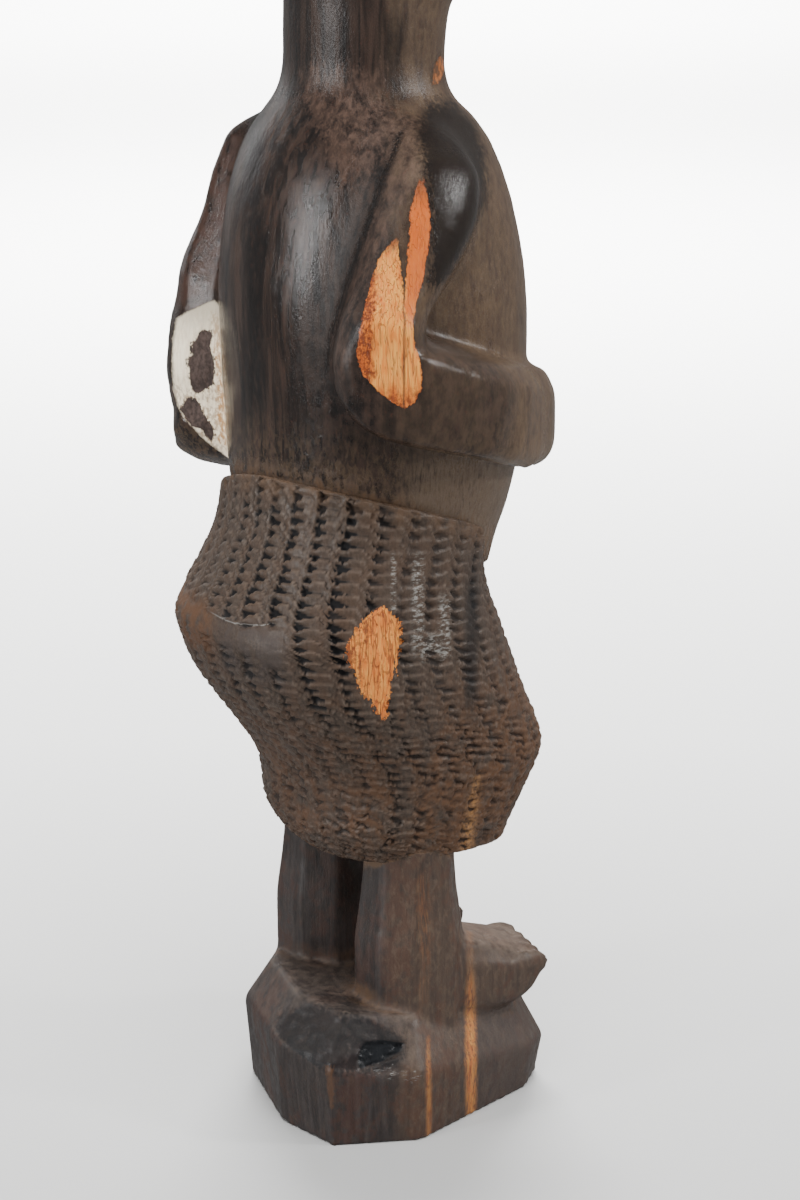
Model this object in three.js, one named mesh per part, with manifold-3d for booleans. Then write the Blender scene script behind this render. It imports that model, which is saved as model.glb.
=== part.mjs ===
// Standing wooden figure, carved with its base from one log of dark wood.
// Millimetres, +Z up. The figure faces -Y and its right side is at -X.
// The origin is the middle of the underside's bounding box, on the floor.
import * as THREE from 'three';
import { ConvexGeometry } from 'three/addons/geometries/ConvexGeometry.js';
import { ParametricGeometry } from 'three/addons/geometries/ParametricGeometry.js';
import { mergeVertices } from 'three/addons/utils/BufferGeometryUtils.js';
import Module from 'manifold-3d';

// Heights of the main forms above the floor.
const TOTAL_HEIGHT = 400;
const NECK_CREASE = 290;
const SHOULDER = 266;
const RIGHT_ARM = { elbow: 226, forearm: 214, hand: 199 };
const LEFT_ARM = { elbow: 210, forearm: 190, hand: 185 };
const WAIST_BACK = 188;
const WAIST_FRONT = 161;
const SHELF = 147;
const KNEE = 104;
const HEM = 76;
const SOLE = 29;

// The log that everything was cut from: its outer face still shows on both elbows.
const LOG_RADIUS = 60;
const LOG_CENTRE_Y = 5;

// Neck, shoulders, belly and waist, from below upwards. Each section is a rounded oval:
// half its width, half its depth, and how far its middle lies behind the leg line.
const TORSO = [
  { level: 142, width: 30, depth: 28, middle: 10 },
  { level: 160, width: 34, depth: 33, middle: 8 },
  { level: 174, width: 37.5, depth: 37, middle: 6.6 },
  { level: 188, width: 40.3, depth: 38.4, middle: 4.8 },
  { level: 203, width: 42, depth: 38.9, middle: 4.0 },
  { level: 220, width: 42, depth: 40.2, middle: 4.1 },
  { level: 236, width: 41.5, depth: 40.6, middle: 4.9 },
  { level: 250, width: 40.5, depth: 38.6, middle: 5.2 },
  { level: 263, width: 39, depth: 35.6, middle: 5.9 },
  { level: 275, width: 35, depth: 31.3, middle: 6.4 },
  { level: 283, width: 28.5, depth: 26.4, middle: 6.8 },
  { level: NECK_CREASE - 2, width: 23, depth: 22, middle: 7.3 },
  { level: NECK_CREASE + 7, width: 21.3, depth: 20.5, middle: 7.0 },
  { level: NECK_CREASE + 20, width: 22.6, depth: 21.8, middle: 6.5 },
  { level: NECK_CREASE + 32, width: 20, depth: 20, middle: 5.5 },
];
const TORSO_SQUARENESS = 2.2;

// Arms: rounded above the elbow, nearly square in the forearm, and a hand of four fingers and a
// thumb laid on the belly.
const UPPER_ARM = { squareness: 3, faces: 12 };
const FOREARM = { squareness: 5, faces: 16 };
const FINGERS = 4;
const FINGER_RADIUS = 2.8;
const FINGER_PITCH = 4.7;
const FINGER_FACES = 6;
const THUMB_RADIUS = 3.1;
const HAND_FRONT = -36;

// The skirt from the hem upwards, as tilted rings: where each one lies at the back and at the
// front (distance behind the leg line, then height) and half its width. The seat pushes it out
// behind, the bent knees push it out in front.
const SKIRT = [
  { backY: 25.5, backZ: HEM, frontY: -29.8, frontZ: HEM, width: 33.5 },
  { backY: 29.5, backZ: HEM + 5, frontY: -31.8, frontZ: HEM + 6, width: 35 },
  { backY: 32.2, backZ: HEM + 11, frontY: -34.6, frontZ: HEM + 12, width: 36.6 },
  { backY: 32.6, backZ: HEM + 18, frontY: -37.8, frontZ: HEM + 19, width: 38.2 },
  { backY: 34.6, backZ: KNEE - 2, frontY: -41.8, frontZ: KNEE, width: 39.8 },
  { backY: 41, backZ: KNEE + 8, frontY: -39.6, frontZ: KNEE + 8, width: 41.2 },
  { backY: 47.6, backZ: KNEE + 17, frontY: -35.6, frontZ: KNEE + 16, width: 42.3 },
  { backY: 54.2, backZ: KNEE + 27, frontY: -32.2, frontZ: KNEE + 24, width: 43.2 },
  { backY: 58.4, backZ: SHELF - 5, frontY: -28.4, frontZ: SHELF - 10, width: 43.6 },
  { backY: 59.2, backZ: SHELF + 1, frontY: -25.6, frontZ: SHELF - 3, width: 43.6 },
  { backY: 56.2, backZ: SHELF + 8, frontY: -22.8, frontZ: SHELF + 3, width: 43 },
  { backY: 51, backZ: SHELF + 17, frontY: -21, frontZ: WAIST_FRONT - 5, width: 42 },
  { backY: 46.4, backZ: WAIST_BACK - 13, frontY: -21.6, frontZ: WAIST_FRONT - 2, width: 41.2 },
  { backY: 44.6, backZ: WAIST_BACK, frontY: -23.6, frontZ: WAIST_FRONT, width: 41 },
];
const SKIRT_SQUARENESS = 2.6;
const WAIST_SQUARENESS = 2.2;
const SKIRT_COLUMNS = 36;
const COLUMN_GROOVE = 0.6;
const WAIST_SIDE_FALL = 0.14;
const HEM_FLANK_RISE = 3;

// Legs: eight cut faces each, thicker towards the ankle.
const LEG_SPACING = 41.6;
const LEG_Y = 6.5;
const LEG_RADIUS_TOP = 13;
const LEG_RADIUS_CALF = 16;
const LEG_RADIUS_ANKLE = 15.8;
const LEG_FACES = 8;

// Feet: they grow out of the leg's front. The left one is a little shorter.
const FOOT_WIDTH = 28;
const INSTEP = 54;
const TOE_TOP = 43.5;
const TOE_LINE_RIGHT = [-40, -34];
const TOE_LINE_LEFT = [-36, -30];
const TOES = 5;
const BIG_TOE = 3.9;
const TOE_LENGTH = 17;
const TOE_HEIGHT = 10;
const FOOT_SQUARENESS = 4;

// Head above the neck, on plain proportions: the eyes at half its height.
const HEAD = [
  { level: 312.5, width: 18, depth: 19, middle: 4 },
  { level: 317, width: 23, depth: 26, middle: 0.5 },
  { level: 326, width: 25.5, depth: 30, middle: 0.5 },
  { level: 338, width: 27.5, depth: 33.5, middle: 2 },
  { level: 351, width: 29, depth: 35.5, middle: 3.5 },
  { level: 364, width: 30, depth: 36, middle: 4.5 },
  { level: 376, width: 28.5, depth: 34, middle: 5 },
  { level: 387, width: 24, depth: 28.5, middle: 5.5 },
  { level: 394.5, width: 17, depth: 20, middle: 5.5 },
  { level: 398.5, width: 9.5, depth: 11.5, middle: 5.5 },
  { level: TOTAL_HEIGHT, width: 1.5, depth: 2, middle: 5.5 },
];
const HEAD_SQUARENESS = 2.2;
const HEAD_FACES = 26;
const HEAD_ROWS = 13;
const HAIR_THICKNESS = 1.6;
const HAIRLINE_FRONT = 378;
const HAIRLINE_NAPE = 322;
const HAIRLINE_DEPTH = 62;
const HAIR_CUTTER = 160;
const EYE_LEVEL = 357;
const NOSE_LEVEL = 343;
const MOUTH_LEVEL = 331.5;
const EAR_LEVEL = 350;
const SOCKET = { middle: [13, -32.5, EYE_LEVEL + 1.5], half: [9, 7, 6.5] };
const EYE = { middle: [12.5, -25, EYE_LEVEL], half: [7, 4.2, 3.5] };
const EAR = { middle: [29.5, 4, EAR_LEVEL], half: [3, 6, 9] };
const UPPER_LIP = { middle: [0, -28.4, MOUTH_LEVEL + 1.6], half: [8.6, 4.4, 2.1] };
const LOWER_LIP = { middle: [0, -28, MOUTH_LEVEL - 1.7], half: [7.6, 4.6, 2.3] };

// Base: uneven side faces, a rim that falls towards the toes, a raised top.
const BASE_CORNERS = [
  [22.4, 33.1],
  [-10.2, 42.8],
  [-31, 39.2],
  [-42.2, 17.4],
  [-31.8, -27.2],
  [-24.3, -36.6],
  [18, -41],
  [41.5, -20],
  [43.5, 12],
];
const RIM_HEIGHT = 18.3;
const RIM_FALL = 0.17;
const RIM_FLARE = 1.05;
const MOUND_HEIGHT = 33.5;
const MOUND_FALL = 0.1;
const MOUND_SHRINK = 0.84;

// A split-off chip along the rim, behind the right foot.
const CHIP_CORNERS = [2, 3];
const CHIP_RADIUS = 4.2;
const CHIP_OUTSIDE = 1.05;

const wasm = await Module();
wasm.setup();

/** A closed solid from a geometry whose seams and poles meet once equal points are merged. */
function solidOf(geometry) {
  geometry.deleteAttribute('normal');
  geometry.deleteAttribute('uv');
  const merged = mergeVertices(geometry, 1e-4);
  const corners = merged.index.array;
  const kept = [];
  for (let i = 0; i < corners.length; i += 3) {
    const [a, b, c] = [corners[i], corners[i + 1], corners[i + 2]];
    if (a !== b && b !== c && c !== a) {
      kept.push(a, b, c);
    }
  }
  const mesh = new wasm.Mesh({
    numProp: 3,
    vertProperties: new Float32Array(merged.attributes.position.array),
    triVerts: new Uint32Array(kept),
  });
  return new wasm.Manifold(mesh);
}

/** Value at the fraction f between b and c on a smooth curve through four values. */
function cubic(a, b, c, d, f) {
  const slopeIn = (c - a) / 2;
  const slopeOut = (d - b) / 2;
  const square = f * f;
  const cube = square * f;
  const fromStart = (2 * cube - 3 * square + 1) * b + (cube - 2 * square + f) * slopeIn;
  return fromStart + (3 * square - 2 * cube) * c + (cube - square) * slopeOut;
}

/** The section at t (0 to 1) along a list of stations, every size smoothly interpolated. */
function sectionAt(stations, t) {
  const last = stations.length - 1;
  const i = Math.min(Math.floor(t * last), last - 1);
  const f = t * last - i;
  const near = [Math.max(i - 1, 0), i, i + 1, Math.min(i + 2, last)].map((k) => stations[k]);
  const section = {};
  for (const key of Object.keys(stations[0])) {
    section[key] = cubic(...near.map((station) => station[key]), f);
  }
  return section;
}

/** Distance from the middle to the edge of a rounded oval in the direction of an angle. */
function ovalReach(angle, halfA, halfB, squareness) {
  const a = Math.abs(Math.cos(angle) / halfA) ** squareness;
  const b = Math.abs(Math.sin(angle) / halfB) ** squareness;
  return (a + b) ** (-1 / squareness);
}

/** A closed skin: rings of points from ringPoint(t, angle), with the two ends drawn shut. */
function skin(around, rows, ringPoint, endPoint) {
  const geometry = new ParametricGeometry(
    (u, v, target) => {
      const row = Math.round(v * (rows + 2));
      if (row === 0 || row === rows + 2) {
        target.copy(endPoint(row === 0 ? 0 : 1));
        return;
      }
      const step = Math.round(u * around) % around;
      target.copy(ringPoint((row - 1) / rows, (step / around) * 2 * Math.PI, step));
    },
    around,
    rows + 2,
  );
  return solidOf(geometry);
}

/** An upright form through level sections. */
function upright(stations, squareness, around, rows) {
  const point = (t, angle) => {
    const s = sectionAt(stations, t);
    const reach = ovalReach(angle, s.width, s.depth, squareness);
    return new THREE.Vector3(Math.cos(angle) * reach, s.middle + Math.sin(angle) * reach, s.level);
  };
  const end = (t) => {
    const s = sectionAt(stations, t);
    return new THREE.Vector3(0, s.middle, s.level);
  };
  return skin(around, rows, point, end);
}

/**
 * A limb along stations (x, y, z): thick away from the body axis, wide along its surface, and
 * with its inner side lifted.
 */
function limb(stations, squareness, around, rows) {
  const centre = (t) => {
    const s = sectionAt(stations, t);
    return new THREE.Vector3(s.x, s.y, s.z);
  };
  const point = (t, angle) => {
    const s = sectionAt(stations, t);
    const step = 0.01;
    const along = centre(Math.min(t + step, 1)).sub(centre(Math.max(t - step, 0))).normalize();
    const outward = new THREE.Vector3(s.x, s.y - LOG_CENTRE_Y, 0);
    outward.addScaledVector(along, -outward.dot(along)).normalize();
    const across = new THREE.Vector3().crossVectors(along, outward);
    const reach = ovalReach(angle, s.thick, s.wide, squareness);
    const inward = (1 - Math.cos(angle)) / 2;
    return centre(t)
      .addScaledVector(outward, Math.cos(angle) * reach)
      .addScaledVector(across, Math.sin(angle) * reach)
      .add(new THREE.Vector3(0, 0, s.lift * inward));
  };
  return skin(around, rows, point, centre);
}

/** An ellipsoid from its middle and its half sizes; side -1 puts it on the figure's right. */
function ellipsoid({ middle: [x, y, z], half }, side = 1, around = 10, rows = 6) {
  const geometry = new THREE.SphereGeometry(1, around, rows);
  geometry.scale(...half);
  geometry.translate(x * side, y, z);
  return solidOf(geometry);
}

/** A rod with round ends from one point to another. */
function rod(from, to, radius, around = 10) {
  const along = new THREE.Vector3().subVectors(to, from);
  const geometry = new THREE.CapsuleGeometry(radius, along.length(), 2, around);
  const turn = new THREE.Quaternion();
  turn.setFromUnitVectors(new THREE.Vector3(0, 1, 0), along.clone().normalize());
  geometry.applyQuaternion(turn);
  geometry.translate(...new THREE.Vector3().addVectors(from, to).multiplyScalar(0.5));
  return solidOf(geometry);
}

/** One solid from many. */
function union(solids) {
  return solids.reduce((sum, solid) => sum.add(solid));
}

/** The skirt: meridian columns parted by grooves, a waist lower on its left, a bowed hem. */
function makeSkirt() {
  const point = (t, angle, step) => {
    const s = sectionAt(SKIRT, t);
    const groove = step % 2 === 0 ? COLUMN_GROOVE : 0;
    const depth = (s.backY - s.frontY) / 2;
    const squareness = THREE.MathUtils.lerp(SKIRT_SQUARENESS, WAIST_SQUARENESS, t ** 3);
    const reach = ovalReach(angle, s.width, depth, squareness) - groove;
    const back = Math.sin(angle);
    const x = Math.cos(angle) * reach;
    const rise = HEM_FLANK_RISE * Math.cos(angle) ** 2 * (1 - t) ** 4 - WAIST_SIDE_FALL * x * t ** 4;
    return new THREE.Vector3(
      x,
      (s.backY + s.frontY) / 2 + back * reach,
      THREE.MathUtils.lerp(s.frontZ, s.backZ, (1 + back) / 2) + rise,
    );
  };
  const end = (t) => {
    const s = sectionAt(SKIRT, t);
    return new THREE.Vector3(0, (s.backY + s.frontY) / 2, (s.backZ + s.frontZ) / 2 + 4 - 6 * t);
  };
  return skin(SKIRT_COLUMNS * 2, SKIRT.length - 1, point, end);
}

/** An arm and its hand on the belly; side is -1 for the right arm and +1 for the left. */
function makeArm(side, { elbow, forearm, hand }) {
  const upperMiddle = (SHOULDER + elbow) / 2;
  const onSide = (station) => ({ ...station, x: station.x * side });
  const upper = [
    { x: 25, y: 9, z: SHOULDER + 14, thick: 5, wide: 7, lift: 0 },
    { x: 35, y: 10, z: SHOULDER + 3, thick: 12, wide: 14, lift: 0 },
    { x: 39, y: 17, z: upperMiddle + 9, thick: 12, wide: 13.5, lift: 0 },
    { x: 41, y: 27, z: upperMiddle - 7, thick: 11.5, wide: 10.5, lift: 0 },
    { x: 42, y: 31, z: elbow - 2, thick: 13.5, wide: 12, lift: 0 },
    { x: 41, y: 30, z: elbow - 15, thick: 9, wide: 8, lift: 0 },
  ].map(onSide);
  const lower = [
    { x: 38, y: 38, z: forearm + 11, thick: 6, wide: 7, lift: 0 },
    { x: 42, y: 30, z: forearm + 6, thick: 13, wide: 13, lift: 0 },
    { x: 44, y: 19, z: forearm, thick: 12, wide: 13.5, lift: 3 },
    { x: 43, y: 2, z: (forearm + hand) / 2, thick: 10.5, wide: 13, lift: 8 },
    { x: 35, y: -17.5, z: hand, thick: 9, wide: 14, lift: 12 },
    { x: 26, y: -29, z: hand - 1, thick: 8, wide: 12.5, lift: 8 },
    { x: 14, y: -33, z: hand - 1.5, thick: 6.5, wide: 10.5, lift: 4 },
  ].map(onSide);
  const fingers = [...Array(FINGERS).keys()].map((i) => {
    const z = hand + 6 - i * FINGER_PITCH;
    const reach = i === 0 || i === FINGERS - 1 ? 6 : 4;
    const knuckle = new THREE.Vector3(18 * side, HAND_FRONT - 0.6, z);
    const tip = new THREE.Vector3(reach * side, HAND_FRONT - 2.4, z - 0.5);
    return rod(knuckle, tip, FINGER_RADIUS, FINGER_FACES);
  });
  const thumbRoot = new THREE.Vector3(19 * side, HAND_FRONT + 0.8, hand + 8);
  const thumbTip = new THREE.Vector3(9 * side, HAND_FRONT - 1, hand + 12.5);
  return union([
    limb(upper, UPPER_ARM.squareness, UPPER_ARM.faces, upper.length * 2 - 2),
    limb(lower, FOREARM.squareness, FOREARM.faces, lower.length * 2 - 2),
    rod(thumbRoot, thumbTip, THUMB_RADIUS, FINGER_FACES),
    ...fingers,
  ]);
}

/** A leg with its foot; side is -1 for the right leg and +1 for the left. */
function makeLeg(side, toeInner, toeOuter) {
  const x = (LEG_SPACING / 2) * side;
  const stations = [
    { level: SOLE - 8, width: LEG_RADIUS_ANKLE },
    { level: SOLE + 8, width: LEG_RADIUS_ANKLE },
    { level: SOLE + 24, width: LEG_RADIUS_CALF },
    { level: HEM, width: LEG_RADIUS_TOP },
    { level: HEM + 20, width: LEG_RADIUS_TOP },
  ];
  const ring = (t, angle) => {
    const s = sectionAt(stations, t);
    const turned = angle + Math.PI / LEG_FACES;
    return new THREE.Vector3(
      x + Math.cos(turned) * s.width,
      LEG_Y + Math.sin(turned) * s.width,
      s.level,
    );
  };
  const end = (t) => new THREE.Vector3(x, LEG_Y, sectionAt(stations, t).level);
  const leg = skin(LEG_FACES, 6, ring, end);
  return leg.add(makeFoot(side, x, toeInner, toeOuter));
}

/** A foot: a rounded wedge falling to a slanting line of five long toes. */
function makeFoot(side, x, toeInner, toeOuter) {
  const half = FOOT_WIDTH / 2;
  const toeY = (u) => THREE.MathUtils.lerp(toeInner, toeOuter, u);
  const stations = [
    { along: 0, half: half - 1, top: INSTEP + 2, under: SOLE - 3 },
    { along: 0.25, half: half - 0.5, top: INSTEP, under: SOLE - 3 },
    { along: 0.5, half, top: INSTEP - 5, under: SOLE - 3 },
    { along: 0.75, half, top: TOE_TOP + 1.5, under: SOLE - 2 },
    { along: 0.95, half: half - 1.4, top: TOE_TOP - 2, under: SOLE + 4 },
  ];
  const point = (t, angle) => {
    const s = sectionAt(stations, t);
    const height = (s.top - s.under) / 2;
    const reach = ovalReach(angle, s.half, height, FOOT_SQUARENESS);
    const offset = Math.cos(angle) * reach;
    const outer = 0.5 + (offset * side) / (2 * s.half);
    return new THREE.Vector3(
      x + offset,
      THREE.MathUtils.lerp(LEG_Y, toeY(outer), s.along),
      s.top - height + Math.sin(angle) * reach,
    );
  };
  const end = (t) => {
    const s = sectionAt(stations, t);
    const y = THREE.MathUtils.lerp(LEG_Y, toeY(0.5), s.along);
    return new THREE.Vector3(x, y, (s.top + s.under) / 2);
  };
  const toes = [...Array(TOES).keys()].map((i) => {
    const wide = i === 0 ? BIG_TOE : (FOOT_WIDTH - 2 * BIG_TOE) / (TOES - 1) / 2;
    const offset = i === 0 ? BIG_TOE : 2 * BIG_TOE + wide * (2 * i - 1);
    const middle = toeY(offset / FOOT_WIDTH) + TOE_LENGTH / 2;
    const toe = {
      middle: [x + (offset - half) * side, middle, TOE_TOP - TOE_HEIGHT / 2 + 0.5],
      half: [wide * 1.06, TOE_LENGTH / 2, TOE_HEIGHT / 2],
    };
    return ellipsoid(toe, 1, 8);
  });
  return union([skin(16, 7, point, end), ...toes]);
}

/** A nose: a wedge from its root between the eyes to the tip and the two wings. */
function makeNose() {
  const points = [
    [-2.4, -29, EYE_LEVEL + 7],
    [2.4, -29, EYE_LEVEL + 7],
    [-2, -37, NOSE_LEVEL + 2],
    [2, -37, NOSE_LEVEL + 2],
    [-6.4, -30.5, NOSE_LEVEL + 2.5],
    [6.4, -30.5, NOSE_LEVEL + 2.5],
    [-5.6, -32, NOSE_LEVEL - 2],
    [5.6, -32, NOSE_LEVEL - 2],
    [0, -36, NOSE_LEVEL - 2],
    [0, -24, NOSE_LEVEL],
  ];
  return solidOf(new ConvexGeometry(points.map((point) => new THREE.Vector3(...point))));
}

/** The head: a cap of hair, ears, sockets with closed eyes, a nose, lips and a chin. */
function makeHead() {
  const cap = HEAD.map((s, i) => ({
    ...s,
    width: s.width + (i < HEAD.length - 1 ? HAIR_THICKNESS : 0),
    depth: s.depth + (i < HEAD.length - 1 ? HAIR_THICKNESS : 0),
  }));
  const under = new THREE.BoxGeometry(HAIR_CUTTER, HAIR_CUTTER, HAIR_CUTTER);
  under.translate(0, 0, -HAIR_CUTTER / 2);
  under.rotateX(-Math.atan2(HAIRLINE_FRONT - HAIRLINE_NAPE, HAIRLINE_DEPTH));
  under.translate(0, -HAIRLINE_DEPTH / 2, HAIRLINE_FRONT);
  const hair = upright(cap, HEAD_SQUARENESS, HEAD_FACES, HEAD_ROWS).subtract(solidOf(under));
  let face = upright(HEAD, HEAD_SQUARENESS, HEAD_FACES, HEAD_ROWS);
  const features = [hair, makeNose(), ellipsoid(UPPER_LIP), ellipsoid(LOWER_LIP)];
  for (const side of [-1, 1]) {
    face = face.subtract(ellipsoid(SOCKET, side, 12, 8));
    features.push(ellipsoid(EYE, side), ellipsoid(EAR, side));
  }
  return union([face, ...features]);
}

/** The base: the hull of its underside, its falling rim and the edge of its raised top. */
function makeBase() {
  const points = [];
  for (const [x, y] of BASE_CORNERS) {
    points.push(
      new THREE.Vector3(x, y, 0),
      new THREE.Vector3(x * RIM_FLARE, y * RIM_FLARE, RIM_HEIGHT + RIM_FALL * y),
      new THREE.Vector3(x * MOUND_SHRINK, y * MOUND_SHRINK, MOUND_HEIGHT + MOUND_FALL * y),
    );
  }
  const [from, to] = CHIP_CORNERS.map((corner) => {
    const [x, y] = BASE_CORNERS[corner];
    const outside = RIM_FLARE * CHIP_OUTSIDE;
    return new THREE.Vector3(x * outside, y * outside, RIM_HEIGHT + RIM_FALL * y + 2);
  });
  const start = from.clone().lerp(to, 0.12);
  const stop = from.clone().lerp(to, 0.8);
  return solidOf(new ConvexGeometry(points)).subtract(rod(start, stop, CHIP_RADIUS, 7));
}

/** The log's outer face, which trims the elbows flat. */
function makeLog() {
  const log = new THREE.CylinderGeometry(LOG_RADIUS, LOG_RADIUS, TOTAL_HEIGHT + 20, 72);
  log.rotateX(Math.PI / 2);
  log.translate(0, LOG_CENTRE_Y, TOTAL_HEIGHT / 2);
  return solidOf(log);
}

/** The whole carving as one solid. */
function makeFigure() {
  const forms = [
    makeBase(),
    upright(TORSO, TORSO_SQUARENESS, 34, 20),
    makeSkirt(),
    makeHead(),
    makeArm(-1, RIGHT_ARM),
    makeArm(1, LEFT_ARM),
    makeLeg(-1, ...TOE_LINE_RIGHT),
    makeLeg(1, ...TOE_LINE_LEFT),
  ];
  return union(forms).intersect(makeLog());
}

/** A drawable geometry from a solid, with its bounding box's bottom middle at the origin. */
function geometryOf(solid) {
  const mesh = solid.getMesh();
  const geometry = new THREE.BufferGeometry();
  const points = new THREE.BufferAttribute(new Float32Array(mesh.vertProperties), 3);
  geometry.setAttribute('position', points);
  geometry.setIndex(new THREE.BufferAttribute(new Uint32Array(mesh.triVerts), 1));
  geometry.computeBoundingBox();
  const { min, max } = geometry.boundingBox;
  geometry.translate(-(min.x + max.x) / 2, -(min.y + max.y) / 2, -min.z);
  geometry.computeVertexNormals();
  return geometry;
}

const darkWood = new THREE.MeshStandardMaterial({
  color: 0x33261f,
  roughness: 0.5,
  metalness: 0,
});

const figure = new THREE.Mesh(geometryOf(makeFigure()), darkWood);
figure.name = 'figure';

const part = new THREE.Group();
part.name = 'wooden_figure';
part.add(figure);

export default part;
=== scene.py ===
"""A standing wooden figure, carved with its base from one log of dark blackwood.

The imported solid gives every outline. Three pieces dress it: the torso with arms and head, the
legs with feet and base, both fine copies of the solid with their forms softened and their tool
marks cut, and the chip-carved skirt between them. One blackwood finish runs through all three
on object coordinates, so the grain and the orange sapwood cross from one piece to the next.
"""
import logging
import math
from dataclasses import dataclass
from enum import Enum

import bmesh
import bpy
import numpy as np
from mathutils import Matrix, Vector
from mathutils import noise as perlin
from mathutils.bvhtree import BVHTree


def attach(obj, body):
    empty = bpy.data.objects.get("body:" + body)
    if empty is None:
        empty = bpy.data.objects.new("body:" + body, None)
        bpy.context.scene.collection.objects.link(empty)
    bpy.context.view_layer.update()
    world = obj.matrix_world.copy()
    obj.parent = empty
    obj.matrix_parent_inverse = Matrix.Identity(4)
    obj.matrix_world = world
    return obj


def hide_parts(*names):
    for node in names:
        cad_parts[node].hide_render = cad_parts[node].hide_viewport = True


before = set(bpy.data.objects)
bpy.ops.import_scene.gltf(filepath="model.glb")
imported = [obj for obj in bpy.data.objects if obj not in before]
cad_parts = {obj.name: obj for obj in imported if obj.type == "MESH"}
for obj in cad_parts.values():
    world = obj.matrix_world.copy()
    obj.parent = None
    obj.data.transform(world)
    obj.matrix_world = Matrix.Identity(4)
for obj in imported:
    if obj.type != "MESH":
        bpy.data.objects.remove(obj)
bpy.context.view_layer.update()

MM = 0.001
LOG = logging.getLogger("wooden_figure")

# The leg line lies this far behind the middle of the box, in millimetres.
LEG_LINE_Y = -8.06

# The waist rises to the back and falls to the left by these shares.
WAIST_RISE = 0.396
WAIST_FALL = -0.14

# The crease over the smooth seat: its height where it starts, its slope from there, and how far
# it sags at 10 mm from its middle. Its places are as seen from behind the right shoulder.
CREASE_HEIGHT = 152.8
CREASE_START = -20
CREASE_SLOPE = 0.11
CREASE_MIDDLE = -32
CREASE_SAG = 1.3

# Carved marks are laid out as seen from behind the figure's right shoulder: across that view
# from left to right, height, and how near the surface comes.
ACROSS = (-0.5592, -0.8290)
NEARNESS = (-0.8290, 0.5592)


class Surface(Enum):
    """How a surface of the carving was left."""

    POLISHED = "polished"
    CHIPPED = "chipped"
    PARED = "pared"


def ramp(value: np.ndarray, low: float, high: float) -> np.ndarray:
    """Smooth step from 0 at low to 1 at high.

    Args:
        value: Any numbers.
        low: Where the step starts.
        high: Where it ends; below low, the step falls.

    Returns:
        Numbers from 0 to 1.
    """
    share = np.clip((value - low) / (high - low), 0.0, 1.0)
    return share * share * (3.0 - 2.0 * share)


def across(points: np.ndarray) -> np.ndarray:
    """Place of each point from left to right, seen from behind the right shoulder."""
    return points[:, 0] * ACROSS[0] + points[:, 1] * ACROSS[1]


def nearness(points: np.ndarray) -> np.ndarray:
    """How near each point comes to the back right."""
    return points[:, 0] * NEARNESS[0] + points[:, 1] * NEARNESS[1]


@dataclass(frozen=True)
class Patch:
    """An area of the surface between two uneven edges.

    Each row is a height and the place of the left and the right edge, in millimetres across the
    back-right view, from the top down. The area is limited to surfaces nearer than near.
    """

    rows: tuple
    near: float
    ragged: float = 0.5

    def cover(self, points: np.ndarray, soft: float = 0.5) -> np.ndarray:
        """How far each point lies inside, from 0 to 1, for marks cut in the mesh.

        Args:
            points: Points in millimetres.
            soft: Width of the edge.

        Returns:
            Numbers from 0 to 1.
        """
        table = np.array(self.rows[::-1], float)
        height, place = points[:, 2], across(points)
        left = np.interp(height, table[:, 0], table[:, 1])
        right = np.interp(height, table[:, 0], table[:, 2])
        inside = ramp(place - left, -soft, soft) * ramp(right - place, -soft, soft)
        inside *= ramp(height, table[0, 0] - soft, table[0, 0] + soft)
        inside *= ramp(height, table[-1, 0] + soft, table[-1, 0] - soft)
        return inside * (nearness(points) > self.near)


ELBOW_BACK_LOBE = Patch(
    rows=(
        (256.4, 8.8, 9.6), (252.4, 5.4, 10.0), (246.7, 3.2, 10.8), (240.7, 1.5, 11.4),
        (235.1, 0.2, 12.0), (228.2, -0.6, 12.0), (223.3, 0.9, 12.0), (219.7, 4.2, 12.0),
        (216.8, 7.5, 12.0), (214.7, 10.8, 12.0),
    ),
    near=42,
)
ELBOW_FRONT_LOBE = Patch(
    rows=(
        (270.6, 15.2, 16.2), (264.7, 13.3, 17.6), (259.1, 12.7, 17.9), (255.7, 12.6, 17.6),
        (252.3, 12.2, 17.1), (246.5, 11.8, 16.1), (241.7, 11.3, 14.6), (236.9, 11.6, 13.6),
        (234.1, 11.6, 13.5), (229.6, 11.6, 14.3), (224.7, 11.6, 15.6), (219.6, 11.6, 15.8),
        (215.8, 11.6, 13.8), (214.7, 11.6, 12.0),
    ),
    near=42,
)
SKIRT_SCAR = Patch(
    rows=(
        (158.3, 4.9, 6.1), (156.6, 2.3, 8.2), (153.0, -1.3, 10.5), (148.0, -3.9, 10.6),
        (144.0, -2.9, 9.8), (139.2, -0.7, 8.5), (134.4, 0.5, 7.5), (132.6, 2.6, 7.4),
        (128.2, 4.5, 6.7), (126.0, 5.8, 6.2),
    ),
    near=30,
    ragged=1.6,
)
LEFT_ELBOW_SAPWOOD = Patch(
    rows=(
        (229.4, -41.2, -40.0), (225.8, -48.2, -36.0), (223.5, -51.4, -34.0),
        (217.7, -52.4, -34.0), (209.7, -52.7, -34.0), (203.2, -52.5, -34.0),
        (199.0, -51.6, -34.0), (196.0, -49.6, -34.0), (193.4, -46.9, -34.0),
        (190.5, -44.7, -34.0), (188.8, -42.8, -34.0), (186.2, -39.5, -34.0),
        (184.6, -37.5, -36.5),
    ),
    near=-24,
    ragged=0.4,
)
LEFT_ELBOW_RIM = Patch(
    rows=(
        (226.5, -42.0, -34.0), (221.0, -41.2, -34.0), (209.0, -40.4, -34.0),
        (196.0, -40.4, -34.0), (189.0, -40.0, -34.0),
    ),
    near=-24,
    ragged=0.8,
)
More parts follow.
